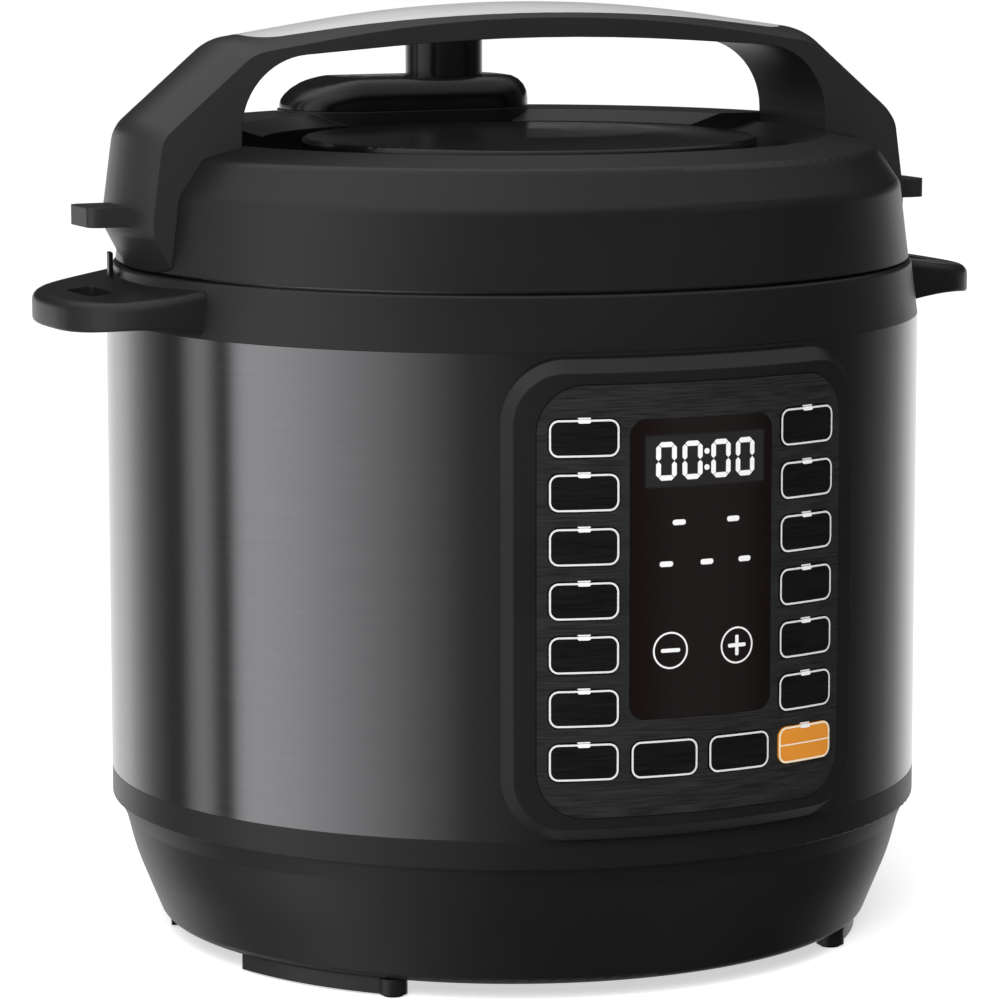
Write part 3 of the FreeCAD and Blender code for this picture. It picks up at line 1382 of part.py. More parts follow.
def steam_valve():
    """Oval valve cover on the deck with a sprung release knob, vent pipe, shield and float pin."""
    cover = new_body("valve_cover_form")
    sketch = valve_plan(cover, "valve_cover_plan", VALVE_SEAT, ZERO)
    block = pad(cover, sketch, S.valve_height)
    doc.recompute()
    top = [f"Edge{index}" for index, edge in enumerate(block.Shape.Edges, start=1)
           if min(vertex.Point.z for vertex in edge.Vertexes) > VALVE_TOP.value - 0.01]
    soft = cover.newObject("PartDesign::Fillet", "valve_round")
    soft.Base = (block, top)
    set_size(soft, "Radius", S.valve_round)
    knob_hole = S.knob_radius + S.slide_gap
    pin_hole = S.float_radius + S.slide_gap
    holes = [
        cylinder("knob_hole", knob_hole, VALVE_FLOOR, S.valve_height * 2, S.knob_x, S.valve_y),
        cylinder("valve_vent_hole", S.vent_radius, VALVE_SEAT - S.cut_over, S.valve_height, S.knob_x,
                 S.valve_y),
        cylinder("pin_hole", pin_hole, VALVE_SEAT - S.cut_over, S.valve_height * 2, S.float_x, S.valve_y),
    ]
    shell = cut("valve_cover", cover, group("valve_holes", holes))
    knob_top = VALVE_TOP + S.knob_proud
    hollow = S.knob_radius - S.knob_wall
    ceiling = knob_top - S.knob_wall * 2
    knob = round_ring("steam_knob", [
        (ZERO, knob_top),
        (S.knob_radius, knob_top, S.knob_round),
        (S.knob_radius, KNOB_BOTTOM),
        (hollow, KNOB_BOTTOM),
        (hollow, ceiling),
        (ZERO, ceiling),
    ])
    place(knob, S.knob_x, S.valve_y, ZERO)
    coil = spring("knob_spring", S.knob_spring_radius, S.spring_wire, VALVE_FLOOR, ceiling,
                  S.knob_spring_turns,
                  S.knob_x, S.valve_y)
    pipe_bottom = CROWN_UNDER - S.vent_drop
    pipe = round_ring("vent_pipe", [
        (S.vent_bore, pipe_bottom),
        (S.vent_radius, pipe_bottom),
        (S.vent_radius, VALVE_FLOOR),
        (S.vent_bore, VALVE_FLOOR),
    ])
    place(pipe, S.knob_x, S.valve_y, ZERO)
    shield_bottom = CROWN_UNDER - S.shield_height
    shield = round_ring("vent_shield", [
        (ZERO, shield_bottom),
        (S.shield_radius, shield_bottom, S.shield_round),
        (S.shield_radius, CROWN_UNDER),
        (S.shield_radius - S.shield_wall, CROWN_UNDER),
        (S.shield_radius - S.shield_wall, shield_bottom + S.shield_wall),
        (ZERO, shield_bottom + S.shield_wall),
    ])
    place(shield, S.knob_x, S.valve_y, ZERO)
    seal_top = CROWN_UNDER - S.float_travel - S.slide_gap
    flange_top = seal_top - S.float_seal_thick
    flange_bottom = flange_top - S.float_flange_thick
    pin = round_ring("float_pin", [
        (ZERO, flange_bottom),
        (S.float_flange, flange_bottom),
        (S.float_flange, flange_top),
        (S.float_radius, flange_top),
        (S.float_radius, VALVE_TOP - S.slide_gap, S.float_tip_round),
        (ZERO, VALVE_TOP - S.slide_gap),
    ])
    place(pin, S.float_x, S.valve_y, ZERO)
    washer = round_ring("float_seal", [
        (S.float_radius, flange_top),
        (S.float_flange, flange_top),
        (S.float_flange, seal_top),
        (S.float_radius, seal_top),
    ])
    place(washer, S.float_x, S.valve_y, ZERO)
    return [shell, knob, coil, pipe, shield, pin, washer]


parts = [
    *base_bowl(),
    *bottom_cover(),
    lower_ring(),
    outer_shell(),
    upper_collar(),
    *side_handles(),
    outer_pot(),
    inner_pot(),
    *heater(),
    *base_electrics(),
    *power_inlet(),
    *key_panel(),
    *condensation_cup(),
    *lid_cover(),
    *pressure_lid(),
    *lid_handle(),
    *steam_valve(),
]
doc.recompute()

failed = [item.Name for item in doc.Objects if "Invalid" in item.State or "Error" in item.State]
if failed:
    raise RuntimeError(f"these did not build: {failed}")
for part in parts:
    if part.Shape.isNull() or not part.Shape.isValid():
        raise RuntimeError(f"{part.Label} has no valid shape")
for part in parts:
    part.Shape.exportStep(f"parts/{part.Label}.step")
print(len(parts), "parts")
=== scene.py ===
"""The looks of an electric pressure cooker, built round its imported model. Metres, +Z up, the front at -Y."""
import bmesh
import bpy
import math
from mathutils import Euler, Matrix, Vector


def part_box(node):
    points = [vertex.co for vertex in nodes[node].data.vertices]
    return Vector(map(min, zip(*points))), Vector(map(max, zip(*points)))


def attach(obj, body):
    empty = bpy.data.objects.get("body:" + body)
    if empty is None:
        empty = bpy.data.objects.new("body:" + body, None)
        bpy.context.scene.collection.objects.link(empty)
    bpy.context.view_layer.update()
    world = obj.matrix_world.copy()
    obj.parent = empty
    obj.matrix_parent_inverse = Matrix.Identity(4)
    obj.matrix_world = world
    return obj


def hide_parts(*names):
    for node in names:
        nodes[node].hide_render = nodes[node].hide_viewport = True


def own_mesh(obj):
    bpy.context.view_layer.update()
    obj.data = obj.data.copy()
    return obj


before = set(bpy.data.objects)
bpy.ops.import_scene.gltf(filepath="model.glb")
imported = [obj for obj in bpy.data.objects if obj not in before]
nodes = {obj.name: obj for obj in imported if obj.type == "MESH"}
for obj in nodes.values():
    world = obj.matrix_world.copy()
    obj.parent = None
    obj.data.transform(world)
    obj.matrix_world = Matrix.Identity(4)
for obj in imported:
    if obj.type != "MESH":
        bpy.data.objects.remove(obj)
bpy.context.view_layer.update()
scene = bpy.context.scene
scene.view_settings.view_transform = "Standard"


# Camera
# A long lens to the left of the front and a little above the lid, as for a catalogue picture. Its length and
# its sensor are in millimetres.
CAMERA_PLACE = Vector((-0.6283, -1.3787, 0.3647))
CAMERA_DOWN = math.radians(8.313)
CAMERA_TURN = math.radians(-24.347)
CAMERA_ROLL = math.radians(-0.064)
LENS_LENGTH = 163.93
SENSOR_WIDTH = 36.0
lens = bpy.data.cameras.new("camera")
lens.sensor_width = SENSOR_WIDTH
lens.lens = LENS_LENGTH
camera = bpy.data.objects.new("camera", lens)
scene.collection.objects.link(camera)
level_aim = Euler((math.pi / 2 - CAMERA_DOWN, 0, CAMERA_TURN)).to_matrix()
aim = level_aim @ Matrix.Rotation(CAMERA_ROLL, 3, "Z")
camera.matrix_world = Matrix.Translation(CAMERA_PLACE) @ aim.to_4x4()
scene.camera = camera


# Bowl, bottom cover, rings, cup bracket and power inlet
# These are injection-moulded in black glass-filled plastic with a fine spark-eroded texture. The bowl hooks
# under the lower ring, that ring and the collar clamp the steel sheet, and screws hold the bottom cover.
GRAIN_SCALE = 1700.0
GRAIN_DETAIL = 3.0
GRAIN_STRENGTH = 0.10
GRAIN_DEPTH = 0.0002
GRAIN_GLOSS = 0.12
CLOUD_SCALE = 14.0
CLOUD_SHADE = 0.8
CLOUD_GLOSS = 0.10
SOFT_EDGE = 0.0006
SOFT_EDGE_SAMPLES = 4


class Shade:
    """A socket among the nodes of a finish; sums and products of these add Math nodes."""

    def __init__(self, tree, socket=None):
        self.tree = tree
        self.socket = socket

    def node(self, kind, settings=None, inputs=None, output=0):
        """Adds a node; a ramp's stops take the place of the two that it comes with."""
        made = self.tree.nodes.new(kind)
        for key, value in (settings or {}).items():
            if key == "stops":
                for place, level in value:
                    stop = made.color_ramp.elements.new(place)
                    stop.color = (level, level, level, 1)
                for spare in (0, -1):
                    made.color_ramp.elements.remove(made.color_ramp.elements[spare])
            else:
                setattr(made, key, value)
        for key, value in (inputs or {}).items():
            if isinstance(value, Shade):
                self.tree.links.new(value.socket, made.inputs[key])
            else:
                made.inputs[key].default_value = value
        return Shade(self.tree, made.outputs[output] if made.outputs else None)

    def math(self, operation, *values):
        return self.node("ShaderNodeMath", {"operation": operation}, dict(enumerate(values)))

    def __add__(self, other):
        return self.math("ADD", self, other)

    def __sub__(self, other):
        return self.math("SUBTRACT", self, other)

    def __mul__(self, other):
        return self.math("MULTIPLY", self, other)

    def __truediv__(self, other):
        return self.math("DIVIDE", self, other)

    def __rsub__(self, other):
        return self.math("SUBTRACT", other, self)

    __radd__ = __add__
    __rmul__ = __mul__

    def step(self, low, high):
        """Rises smoothly from 0 at low to 1 at high."""
        smooth = {"interpolation_type": "SMOOTHSTEP"}
        return self.node("ShaderNodeMapRange", smooth, {0: self, 1: low, 2: high})

    def spread(self, half=0.2):
        """Noise, which keeps near 0.5, drawn out to the whole way from 0 to 1."""
        return self.step(0.5 - half, 0.5 + half)

    def between(self, low, high):
        """The value low where this is 0 and high where it is 1."""
        return low + self * (high - low)

    def mix(self, first, second):
        """The first colour where this is 0 and the second where it is 1."""
        return self.node("ShaderNodeMix", {"data_type": "RGBA"}, {0: self, 6: first, 7: second}, 2)

    def noise(self, scale, detail=2.0):
        return self.node("ShaderNodeTexNoise", {}, {"Vector": self, "Scale": scale, "Detail": detail})

    def bump(self, strength, depth, under=None):
        """The normal of a surface with this height, laid on another normal where one is given."""
        inputs = {"Strength": strength, "Distance": depth, "Height": self}
        if under:
            inputs["Normal"] = under
        return self.node("ShaderNodeBump", {}, inputs)

    def stretched(self, scales):
        return self.node("ShaderNodeMapping", {}, {"Vector": self, "Scale": scales})

    def axes(self):
        split = self.node("ShaderNodeSeparateXYZ", {}, {0: self})
        return [Shade(self.tree, socket) for socket in split.socket.node.outputs]


def new_finish(name):
    """An empty material and the place on the piece that its patterns read."""
    material = bpy.data.materials.new(name)
    material.use_nodes = True
    material.node_tree.nodes.clear()
    return material, Shade(material.node_tree).node("ShaderNodeTexCoord", output="Object")


def surface(place, sockets):
    coat = place.node("ShaderNodeBsdfPrincipled", {}, sockets)
    place.node("ShaderNodeOutputMaterial", {}, {"Surface": coat})


def give(finish, *names):
    """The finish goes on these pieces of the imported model."""
    for name in names:
        for slot in nodes[name].material_slots:
            slot.material = finish


def tint(colour, share=1.0):
    """A colour as a socket takes it, darkened to a share of itself."""
    return [channel * share for channel in colour] + [1]


def moulded_plastic(name, colour, roughness):
    """Moulded plastic: fine eroded texture, soft edges, and a faint unevenness of gloss."""
    finish, place = new_finish(name)
    grain = place.noise(GRAIN_SCALE, GRAIN_DETAIL)
    cloud = place.noise(CLOUD_SCALE)
    edge = place.node("ShaderNodeBevel", {"samples": SOFT_EDGE_SAMPLES}, {"Radius": SOFT_EDGE})
    surface(place, {
        "Base Color": cloud.spread().mix(tint(colour, CLOUD_SHADE), tint(colour)),
        "Roughness": roughness + (cloud - 0.5) * CLOUD_GLOSS + (grain - 0.5) * GRAIN_GLOSS,
        "Normal": grain.bump(GRAIN_STRENGTH, GRAIN_DEPTH, edge),
    })
    return finish


black_plastic = moulded_plastic("black_plastic", colour=(0.011, 0.011, 0.011), roughness=0.35)
give(black_plastic, "base_bowl", "bottom_cover", "lower_ring", "upper_collar", "cup_bracket", "power_inlet")


# Side handles
# Paddle-shaped grips on the collar, blunt at the tip, soft at the upper edge and a little hollow underneath.
# The slot takes the lid's fin when the lid is parked upright, and a small guard stands beside the lid.
GRIP_CENTRE = 0.125
GRIP_REACH = 0.038
GRIP_HALF_WIDTH = 0.0449
GRIP_BLUNT = 0.75
GRIP_STEPS = 40
GRIP_TOP = 0.2235
GRIP_BOTTOM = 0.2088
GRIP_ROUND = 0.0032
GRIP_UNDER_ROUND = 0.0012
GRIP_FALL = 0.0045
GRIP_FALL_CURVE = 1.6
GRIP_ARCH = 0.0023
GRIP_ROOT = 0.1312
GRIP_SLICE_OUT = 0.003
GRIP_SLICE_ALONG = 0.006
SLOT_PLACE = 0.148
SLOT_SIZE = (0.0095, 0.025)
SLOT_CORNER = 0.0025
GUARD_PLACE = (0.1325, 0.0260)
GUARD_HALF_WALL = 0.0007
GUARD_HALF_WIDTH = 0.0022
GUARD_FOOT = 0.219
GUARD_TOP = 0.2300
GUARD_ROUND = 0.0004
SHARP_EDGE = math.radians(35)
SAME_HEIGHT = 1e-7
ROUND_STEPS = 5
CORNERS = ((-1, -1), (1, -1), (1, 1), (-1, 1))


def placed(name, form, finish, body):
    """The form becomes a piece that moves with a body."""
    bmesh.ops.recalc_face_normals(form, faces=form.faces[:])
    mesh = bpy.data.meshes.new(name)
    form.to_mesh(mesh)
    form.free()
    mesh.materials.append(finish)
    piece = bpy.data.objects.new(name, mesh)
    scene.collection.objects.link(piece)
    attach(piece, body)
    return piece


def smoothed(piece):
    """The piece is shaded as one surface, apart from its sharp edges."""
    piece.data.polygons.foreach_set("use_smooth", [True] * len(piece.data.polygons))
    piece.data.set_sharp_from_angle(angle=SHARP_EDGE)
    return piece


def sliced(form, spacing, normal):
    """Level cuts through the form, so that it can bend."""
    reaches = [vertex.co.dot(normal) for vertex in form.verts]
    low, high = min(reaches), max(reaches)
    for index in range(1, int((high - low) / spacing)):
        cut = normal * (low + index * spacing)
        everything = form.verts[:] + form.edges[:] + form.faces[:]
        bmesh.ops.bisect_plane(form, geom=everything, plane_co=cut, plane_no=normal)


def drawn_out(form, way):
    """The form's faces are drawn out into a solid."""
    drawn = bmesh.ops.extrude_face_region(form, geom=form.faces[:])["geom"]
    moved = [item for item in drawn if isinstance(item, bmesh.types.BMVert)]
    bmesh.ops.translate(form, verts=moved, vec=way)


def raised_plan(plan, bottom, top):
    """A plan in X and Y raised between two heights."""
    form = bmesh.new()
    form.faces.new([form.verts.new((x, y, bottom)) for x, y in plan])
    drawn_out(form, (0, 0, top - bottom))
    return form


def round_rim(form, height, radius):
    """The edges that lie at a height are rounded."""
    rim = [edge for edge in form.edges
           if all(abs(vertex.co.z - height) < SAME_HEIGHT for vertex in edge.verts)]
    bmesh.ops.bevel(form, geom=rim, offset=radius, affect="EDGES", segments=ROUND_STEPS, profile=0.5,
                    material=-1, clamp_overlap=True)


def rounded_rectangle(low, high, radius, steps=6):
    """Points round the rectangle between two opposite corners, with an arc at each corner."""
    middle = (low + high) / 2
    half = (high - low) / 2 - Vector((radius, radius))
    points = []
    for quarter, (side, end) in enumerate(CORNERS):
        centre = middle + Vector((side * half.x, end * half.y))
        for step in range(steps + 1):
            turn = math.pi + math.pi / 2 * (quarter + step / steps)
            points.append(centre + Vector((math.cos(turn), math.sin(turn))) * radius)
    return points


def grip_form(side):
    """The grip's paddle, bent to its thickness and pushed against the collar."""
    plan = []
    for index in range(GRIP_STEPS + 1):
        turn = math.pi * (index / GRIP_STEPS - 0.5)
        out = math.cos(turn) ** GRIP_BLUNT
        along = math.copysign(abs(math.sin(turn)) ** GRIP_BLUNT, turn)
        plan.append((GRIP_CENTRE + GRIP_REACH * out, GRIP_HALF_WIDTH * along))
    form = raised_plan(plan, GRIP_BOTTOM, GRIP_TOP)
    round_rim(form, GRIP_TOP, GRIP_ROUND)
    round_rim(form, GRIP_BOTTOM, GRIP_UNDER_ROUND)
    sliced(form, GRIP_SLICE_OUT, Vector((1, 0, 0)))
    sliced(form, GRIP_SLICE_ALONG, Vector((0, 1, 0)))
    middle = (GRIP_TOP + GRIP_BOTTOM) / 2
    for vertex in form.verts:
        outwards = (vertex.co.x - GRIP_CENTRE) / GRIP_REACH
        if vertex.co.z > middle:
            vertex.co.z -= GRIP_FALL * (1 - max(1 - outwards, 0) ** GRIP_FALL_CURVE)
        else:
            vertex.co.z += GRIP_ARCH * math.sin(math.pi * min(max(outwards, 0), 1))
        near = vertex.co.xy.length
        if near < GRIP_ROOT:
            vertex.co.xy = vertex.co.xy * GRIP_ROOT / near
        vertex.co.x *= side
    return form


def slot_form(side):
    """The slot's shape, taller than the grip."""
    middle = Vector((side * SLOT_PLACE, 0))
    half = Vector(SLOT_SIZE) / 2
    plan = rounded_rectangle(middle - half, middle + half, SLOT_CORNER)
    return raised_plan(plan, GRIP_BOTTOM - GRIP_ROUND, GRIP_TOP + GRIP_ROUND)


def guard_form(side):
    """A thin upright wall that faces the lid, rounded along its top."""
    foot = Vector(GUARD_PLACE)
    outwards = foot.normalized() * GUARD_HALF_WALL
    sideways = outwards.orthogonal().normalized() * GUARD_HALF_WIDTH
    plan = [foot + outwards * x + sideways * y for x, y in CORNERS]
    form = raised_plan([(side * x, y) for x, y in plan], GUARD_FOOT, GUARD_TOP)
    round_rim(form, GUARD_TOP, GUARD_ROUND)
    return form


def cut_out(piece, hole):
    """The hole's form is taken out of the piece's mesh."""
    bmesh.ops.recalc_face_normals(hole, faces=hole.faces[:])
    mesh = bpy.data.meshes.new("hole")
    hole.to_mesh(mesh)
    hole.free()
    cutter = bpy.data.objects.new("hole", mesh)
    scene.collection.objects.link(cutter)
    difference = piece.modifiers.new("hole", "BOOLEAN")
    difference.object = cutter
    shown = piece.evaluated_get(bpy.context.evaluated_depsgraph_get())
    whole = piece.data
    piece.data = bpy.data.meshes.new_from_object(shown)
    piece.modifiers.clear()
    bpy.data.objects.remove(cutter)
    bpy.data.meshes.remove(mesh)
    bpy.data.meshes.remove(whole)


for side, name in ((-1, "left"), (1, "right")):
    grip = smoothed(placed("grip_" + name, grip_form(side), black_plastic, "base"))
    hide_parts("side_handle_" + name)
    cut_out(grip, slot_form(side))
    smoothed(placed("grip_guard_" + name, guard_form(side), black_plastic, "base"))


# Foot pads
# Soft rubber buttons under the rail feet, so that the cooker doesn't slide. They are moulded, and pressed
# into the pegs at the ends of the rails.
give(moulded_plastic("foot_rubber", colour=(0.012, 0.012, 0.012), roughness=0.7), "foot_pads")


# Steel shell
# Rolled stainless sheet with a black coating, brushed round the cooker. The brushing shows as fine level
# streaks, and the coating reflects about a quarter of the light.
STEEL_PALE = (0.265, 0.258, 0.268, 1)
STEEL_DARK = (0.250, 0.243, 0.253, 1)
STEEL_STREAK_STRENGTH = 0.03
STREAK_DEPTH = 0.0001


def reach_of(name):
    """How far a node stands from the cooker's axis."""
    return max(vertex.co.xy.length for vertex in nodes[name].data.vertices)


shell_radius = reach_of("outer_shell")


def along_the_round(place):
    """A point's place along the shell, in metres from the front, and its height."""
    x, y, z = place.axes()
    return place.math("ARCTAN2", x, 0 - y) * shell_radius, z


def streaks(place, length, width):
    """Noise drawn out along the shell: long streaks, each as wide as given."""
    along, height = along_the_round(place)
    joined = place.node("ShaderNodeCombineXYZ", {}, {0: along / length, 2: height / width})
    return joined.noise(1.0)


def coated_steel():
    finish, place = new_finish("coated_steel")
    broad = streaks(place, length=0.06, width=0.0012)
    fine = streaks(place, length=0.02, width=0.0004)
    brushing = broad * 0.5 + fine * 0.5
    surface(place, {
        "Base Color": brushing.spread().mix(STEEL_DARK, STEEL_PALE),
        "Metallic": 1.0,
        "Roughness": brushing.between(0.09, 0.15),
        "Normal": fine.bump(STEEL_STREAK_STRENGTH, STREAK_DEPTH),
    })
    return finish


give(coated_steel(), "outer_shell")


# Pots, pressure lid and other bare steel
# Drawn and turned stainless steel with the satin of fine round brushing: the pots, the pressure lid and its
# ring rack, the pipe and shield of the vent, the sensor's cradle and the screws.
BARE_STEEL_PALE = (0.62, 0.62, 0.61, 1)
BARE_STEEL_DARK = (0.50, 0.50, 0.49, 1)


def bare_steel():
    finish, place = new_finish("bare_steel")
    brushing = streaks(place, length=0.03, width=0.0006)
    surface(place, {
        "Base Color": brushing.spread().mix(BARE_STEEL_DARK, BARE_STEEL_PALE),
        "Metallic": 1.0,
        "Roughness": brushing.between(0.22, 0.36),
    })
    return finish


steel = bare_steel()
give(steel, "outer_pot", "inner_pot", "pressure_lid", "vent_pipe", "vent_shield", "ring_rack")
give(steel, "sensor_cradle", "cover_screws", "lid_screws")


# Springs
# Coils of steel wire under the sensor and the steam knob. Each stands on its lower end, and the piece above
# presses on it.
SPRINGS = (("sensor_spring", "base", "sensor_press", 0.002), ("knob_spring", "lid", "knob_press", 0.003))
SEAM_GAP = 1e-6
for name, body, joint, travel in SPRINGS:
    low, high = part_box(name)
    coil = bmesh.new()
    coil.from_mesh(nodes[name].data)
    bmesh.ops.remove_doubles(coil, verts=coil.verts[:], dist=SEAM_GAP)
    spring = smoothed(placed(name + "_coil", coil, steel, body))
    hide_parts(name)
    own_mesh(spring)


# Heating plate and sensor
# Cast aluminium, turned flat on top, with the dull grey of a heated casting. The sensor stands on its spring
# in the middle of the plate and touches the pot.
CAST_SCALE = 420.0
CAST_DETAIL = 4.0
CAST_SHADE = 0.75
CAST_STRENGTH = 0.2
CAST_DEPTH = 0.0003


def cast_metal(name, colour):
    finish, place = new_finish(name)
    grain = place.noise(CAST_SCALE, CAST_DETAIL)
    surface(place, {
        "Base Color": grain.spread().mix(tint(colour, CAST_SHADE), tint(colour)),
        "Metallic": 1.0,
        "Roughness": grain.between(0.36, 0.56),
        "Normal": grain.bump(CAST_STRENGTH, CAST_DEPTH),
    })
    return finish


give(cast_metal("cast_aluminium", colour=(0.52, 0.52, 0.53)), "heating_plate", "temperature_sensor")


# Inlet pins
# Three contact blades in the socket at the back, for the connector of a power lead. They are stamped from
# plated brass and pressed into the inlet's moulding.
give(cast_metal("contact_brass", colour=(0.72, 0.58, 0.30)), "inlet_pins")


# Seals
# The ring inside the pressure lid and the small seal on the float pin, which keep the steam in. Both are
# moulded in soft, milky silicone, and a rack holds the ring.
give(moulded_plastic("silicone", colour=(0.66, 0.66, 0.63), roughness=0.5), "sealing_ring", "float_seal")


# Boards and switches
# Two boards of laminate under green lacquer, one behind the keys and one on the bottom cover. The switch, the
# fuse and the display module are moulded in dark resin.
green_laminate = moulded_plastic("green_laminate", colour=(0.02, 0.12, 0.05), roughness=0.4)
give(green_laminate, "control_board", "power_board")
dark_resin = moulded_plastic("dark_resin", colour=(0.03, 0.03, 0.03), roughness=0.5)
give(dark_resin, "pressure_switch", "thermal_fuse", "display_module")


# Key panel housing
# A bezel moulded in the same black plastic, curved to the shell and bevelled all round. It covers the window
# in the steel sheet, with the face plate in front and posts for the board behind.
give(black_plastic, "panel_housing")


# Face plate
# A thin curved plate with a brushed black film, its lines level across the panel. It lies in the housing,
# with holes for the keys and the display window.
FILM_LINE_SHARE = 0.7
FILM_SPREAD = 0.15
FILM_STRENGTH = 0.12


def brushed_film(name, dark, pale):
    finish, place = new_finish(name)
    lines = streaks(place, length=0.012, width=0.0005)
    patches = streaks(place, length=0.05, width=0.004)
    level = lines * FILM_LINE_SHARE + patches * (1 - FILM_LINE_SHARE)
    surface(place, {
        "Base Color": level.spread(FILM_SPREAD).mix((dark, dark, dark, 1), (pale, pale, pale, 1)),
        "Roughness": level.between(0.34, 0.50),
        "Normal": lines.bump(FILM_STRENGTH, STREAK_DEPTH),
    })
    return finish


give(brushed_film("face_film", dark=0.010, pale=0.024), "face_plate")


# Display window
# A smoked lens with a slight red cast, let into the face plate and a little paler along its middle. The lamp
# field of the digits shows through it as a paler patch.
LENS_EDGE = (0.006, 0.003, 0.003, 1)
LENS_MIDDLE = (0.011, 0.008, 0.008, 1)
LENS_FADE = (0.024, 0.008)
LENS_HAZE_SCALE = 60.0
FIELD_COLOUR = (0.018, 0.018, 0.018, 1)
FIELD_HALF_WIDTH = 0.0194
FIELD_HALF_HEIGHT = 0.0080
FIELD_MIDDLE = 0.1749
FIELD_SHIFT = 0.0009
FIELD_BLUR = 0.0006


def smoked_lens():
    finish, place = new_finish("smoked_lens")
    along, height = along_the_round(place)
    sideways = place.math("ABSOLUTE", along - FIELD_SHIFT)
    upwards = place.math("ABSOLUTE", height - FIELD_MIDDLE)
    beside = sideways.step(FIELD_HALF_WIDTH + FIELD_BLUR, FIELD_HALF_WIDTH - FIELD_BLUR)
    field = beside * upwards.step(FIELD_HALF_HEIGHT + FIELD_BLUR, FIELD_HALF_HEIGHT - FIELD_BLUR)
    surface(place, {
        "Base Color": field.mix(sideways.step(*LENS_FADE).mix(LENS_EDGE, LENS_MIDDLE), FIELD_COLOUR),
        "Roughness": place.noise(LENS_HAZE_SCALE).between(0.16, 0.22),
    })
    return finish


give(smoked_lens(), "display_window")


# Display digits and marks
# Plain lamp digits, lamp bars and two touch marks, all in white. Each is a thin print that's wrapped on the
# curve of the lens.
PRINT_THICKNESS = 0.00005
PRINT_SINK = 0.00002
PRINT_SLICE = 0.002
PRINT_SEAM_GAP = 1e-5
PRINT_SPECK_SCALE = 2500.0
PRINT_SHADE = 0.9
BAR_CORNER_STEPS = 6
DIGIT_PLACES = (-0.0136, -0.0049, 0.0049, 0.0136)
DIGIT_WIDTH = 0.0068
DIGIT_HEIGHT = 0.0119
SEGMENT = 0.0016
SEGMENT_GAP = 0.00012
DOT_LIFT = 0.0025
DOT_RADIUS = 0.0009
DOT_STEPS = 16
LAMP_WIDTH = 0.0044
LAMP_HEIGHT = 0.0017
LAMP_ROUND = 0.0008
LAMP_PLACES = ((-0.0084, 0.1558), (0.0103, 0.1558), (-0.0126, 0.1430), (0.0011, 0.1430), (0.0145, 0.1430))
MARK_PLACES = (-0.0111, 0.0119)
MARK_HEIGHT = 0.1160
MARK_RADIUS = 0.0058
MARK_STEPS = 48
MARK_LINE = 0.00055
MARK_ARM = 0.0064
MARK_BAR = 0.0012
MARK_BAR_ROUND = 0.00054
MARK_STUB_ROUND = 0.00036


def print_ink(name, colour):
    finish, place = new_finish(name)
    speck = place.noise(PRINT_SPECK_SCALE)
    surface(place, {
        "Base Color": speck.spread().mix(tint(colour, PRINT_SHADE), tint(colour)),
        "Roughness": speck.between(0.45, 0.55),
    })
    return finish


def printed(name, flat, radius, thickness, finish, body, turn=0.0):
    """A flat form in X and Z is thickened, wrapped on a cylinder round the axis and turned from the front."""
    sliced(flat, PRINT_SLICE, Vector((1, 0, 0)))
    bmesh.ops.remove_doubles(flat, verts=flat.verts[:], dist=PRINT_SEAM_GAP)
    drawn_out(flat, (0, -thickness, 0))
    for vertex in flat.verts:
        angle = turn + vertex.co.x / radius
        away = radius - vertex.co.y
        vertex.co = (away * math.sin(angle), -away * math.cos(angle), vertex.co.z)
    placed(name, flat, finish, body)


def outline_only(flat, rim, line, even=False):
    """Only a line along a face's rim is left of it; an even line keeps its width at the corners."""
    inside = [face for face in flat.faces if set(face.verts) & set(rim)]
    bmesh.ops.inset_region(flat, faces=inside, thickness=line, use_even_offset=even, use_boundary=True)
    bmesh.ops.delete(flat, geom=inside, context="FACES")


def rounded_bar(flat, x, z, width, height, corner, line=None):
    """A rounded rectangle in X and Z; with a line width, only its outline."""
    corners = [flat.verts.new((x + side * width / 2, 0, z + end * height / 2)) for side, end in CORNERS]
    flat.faces.new(corners)
    rounded = bmesh.ops.bevel(flat, geom=corners, offset=corner, affect="VERTICES", segments=BAR_CORNER_STEPS,
                              profile=0.5, material=-1, clamp_overlap=True)
    if line:
        outline_only(flat, rounded["verts"], line, even=True)


def disc(flat, x, z, radius, steps):
    """A round face in X and Z, whose rim is returned."""
    lie = Matrix.Translation((x, 0, z)) @ Matrix.Rotation(math.pi / 2, 4, "X")
    return bmesh.ops.create_circle(flat, cap_ends=True, segments=steps, radius=radius, matrix=lie)["verts"]


def segment(flat, start, end):
    """One bar of a digit, with pointed ends."""
    along = (end - start).normalized()
    across = Vector((-along.z, 0, along.x)) * SEGMENT / 2
    near = start + along * SEGMENT_GAP
    far = end - along * SEGMENT_GAP
    tip = along * SEGMENT / 2
    outline = [near, near + tip - across, far - tip - across, far, far - tip + across, near + tip + across]
    flat.faces.new([flat.verts.new(point) for point in outline])


white = print_ink("white_print", colour=(0.86, 0.86, 0.85))
lens_reach = reach_of("display_window") - PRINT_SINK

digits = bmesh.new()
half_width = (DIGIT_WIDTH - SEGMENT) / 2
half_height = (DIGIT_HEIGHT - SEGMENT) / 2
round_the_digit = [Vector((side * half_width, 0, end * half_height))
                   for side, end in ((-1, 1), (1, 1), (1, 0), (1, -1), (-1, -1), (-1, 0))]
for place_along in DIGIT_PLACES:
    middle = Vector((place_along + FIELD_SHIFT, 0, FIELD_MIDDLE))
    for first, second in zip(round_the_digit, round_the_digit[1:] + round_the_digit[:1]):
        segment(digits, middle + first, middle + second)
for lift in (DOT_LIFT, -DOT_LIFT):
    disc(digits, FIELD_SHIFT, FIELD_MIDDLE + lift, DOT_RADIUS, DOT_STEPS)
printed("display_digits", digits, lens_reach, PRINT_THICKNESS, white, "base")

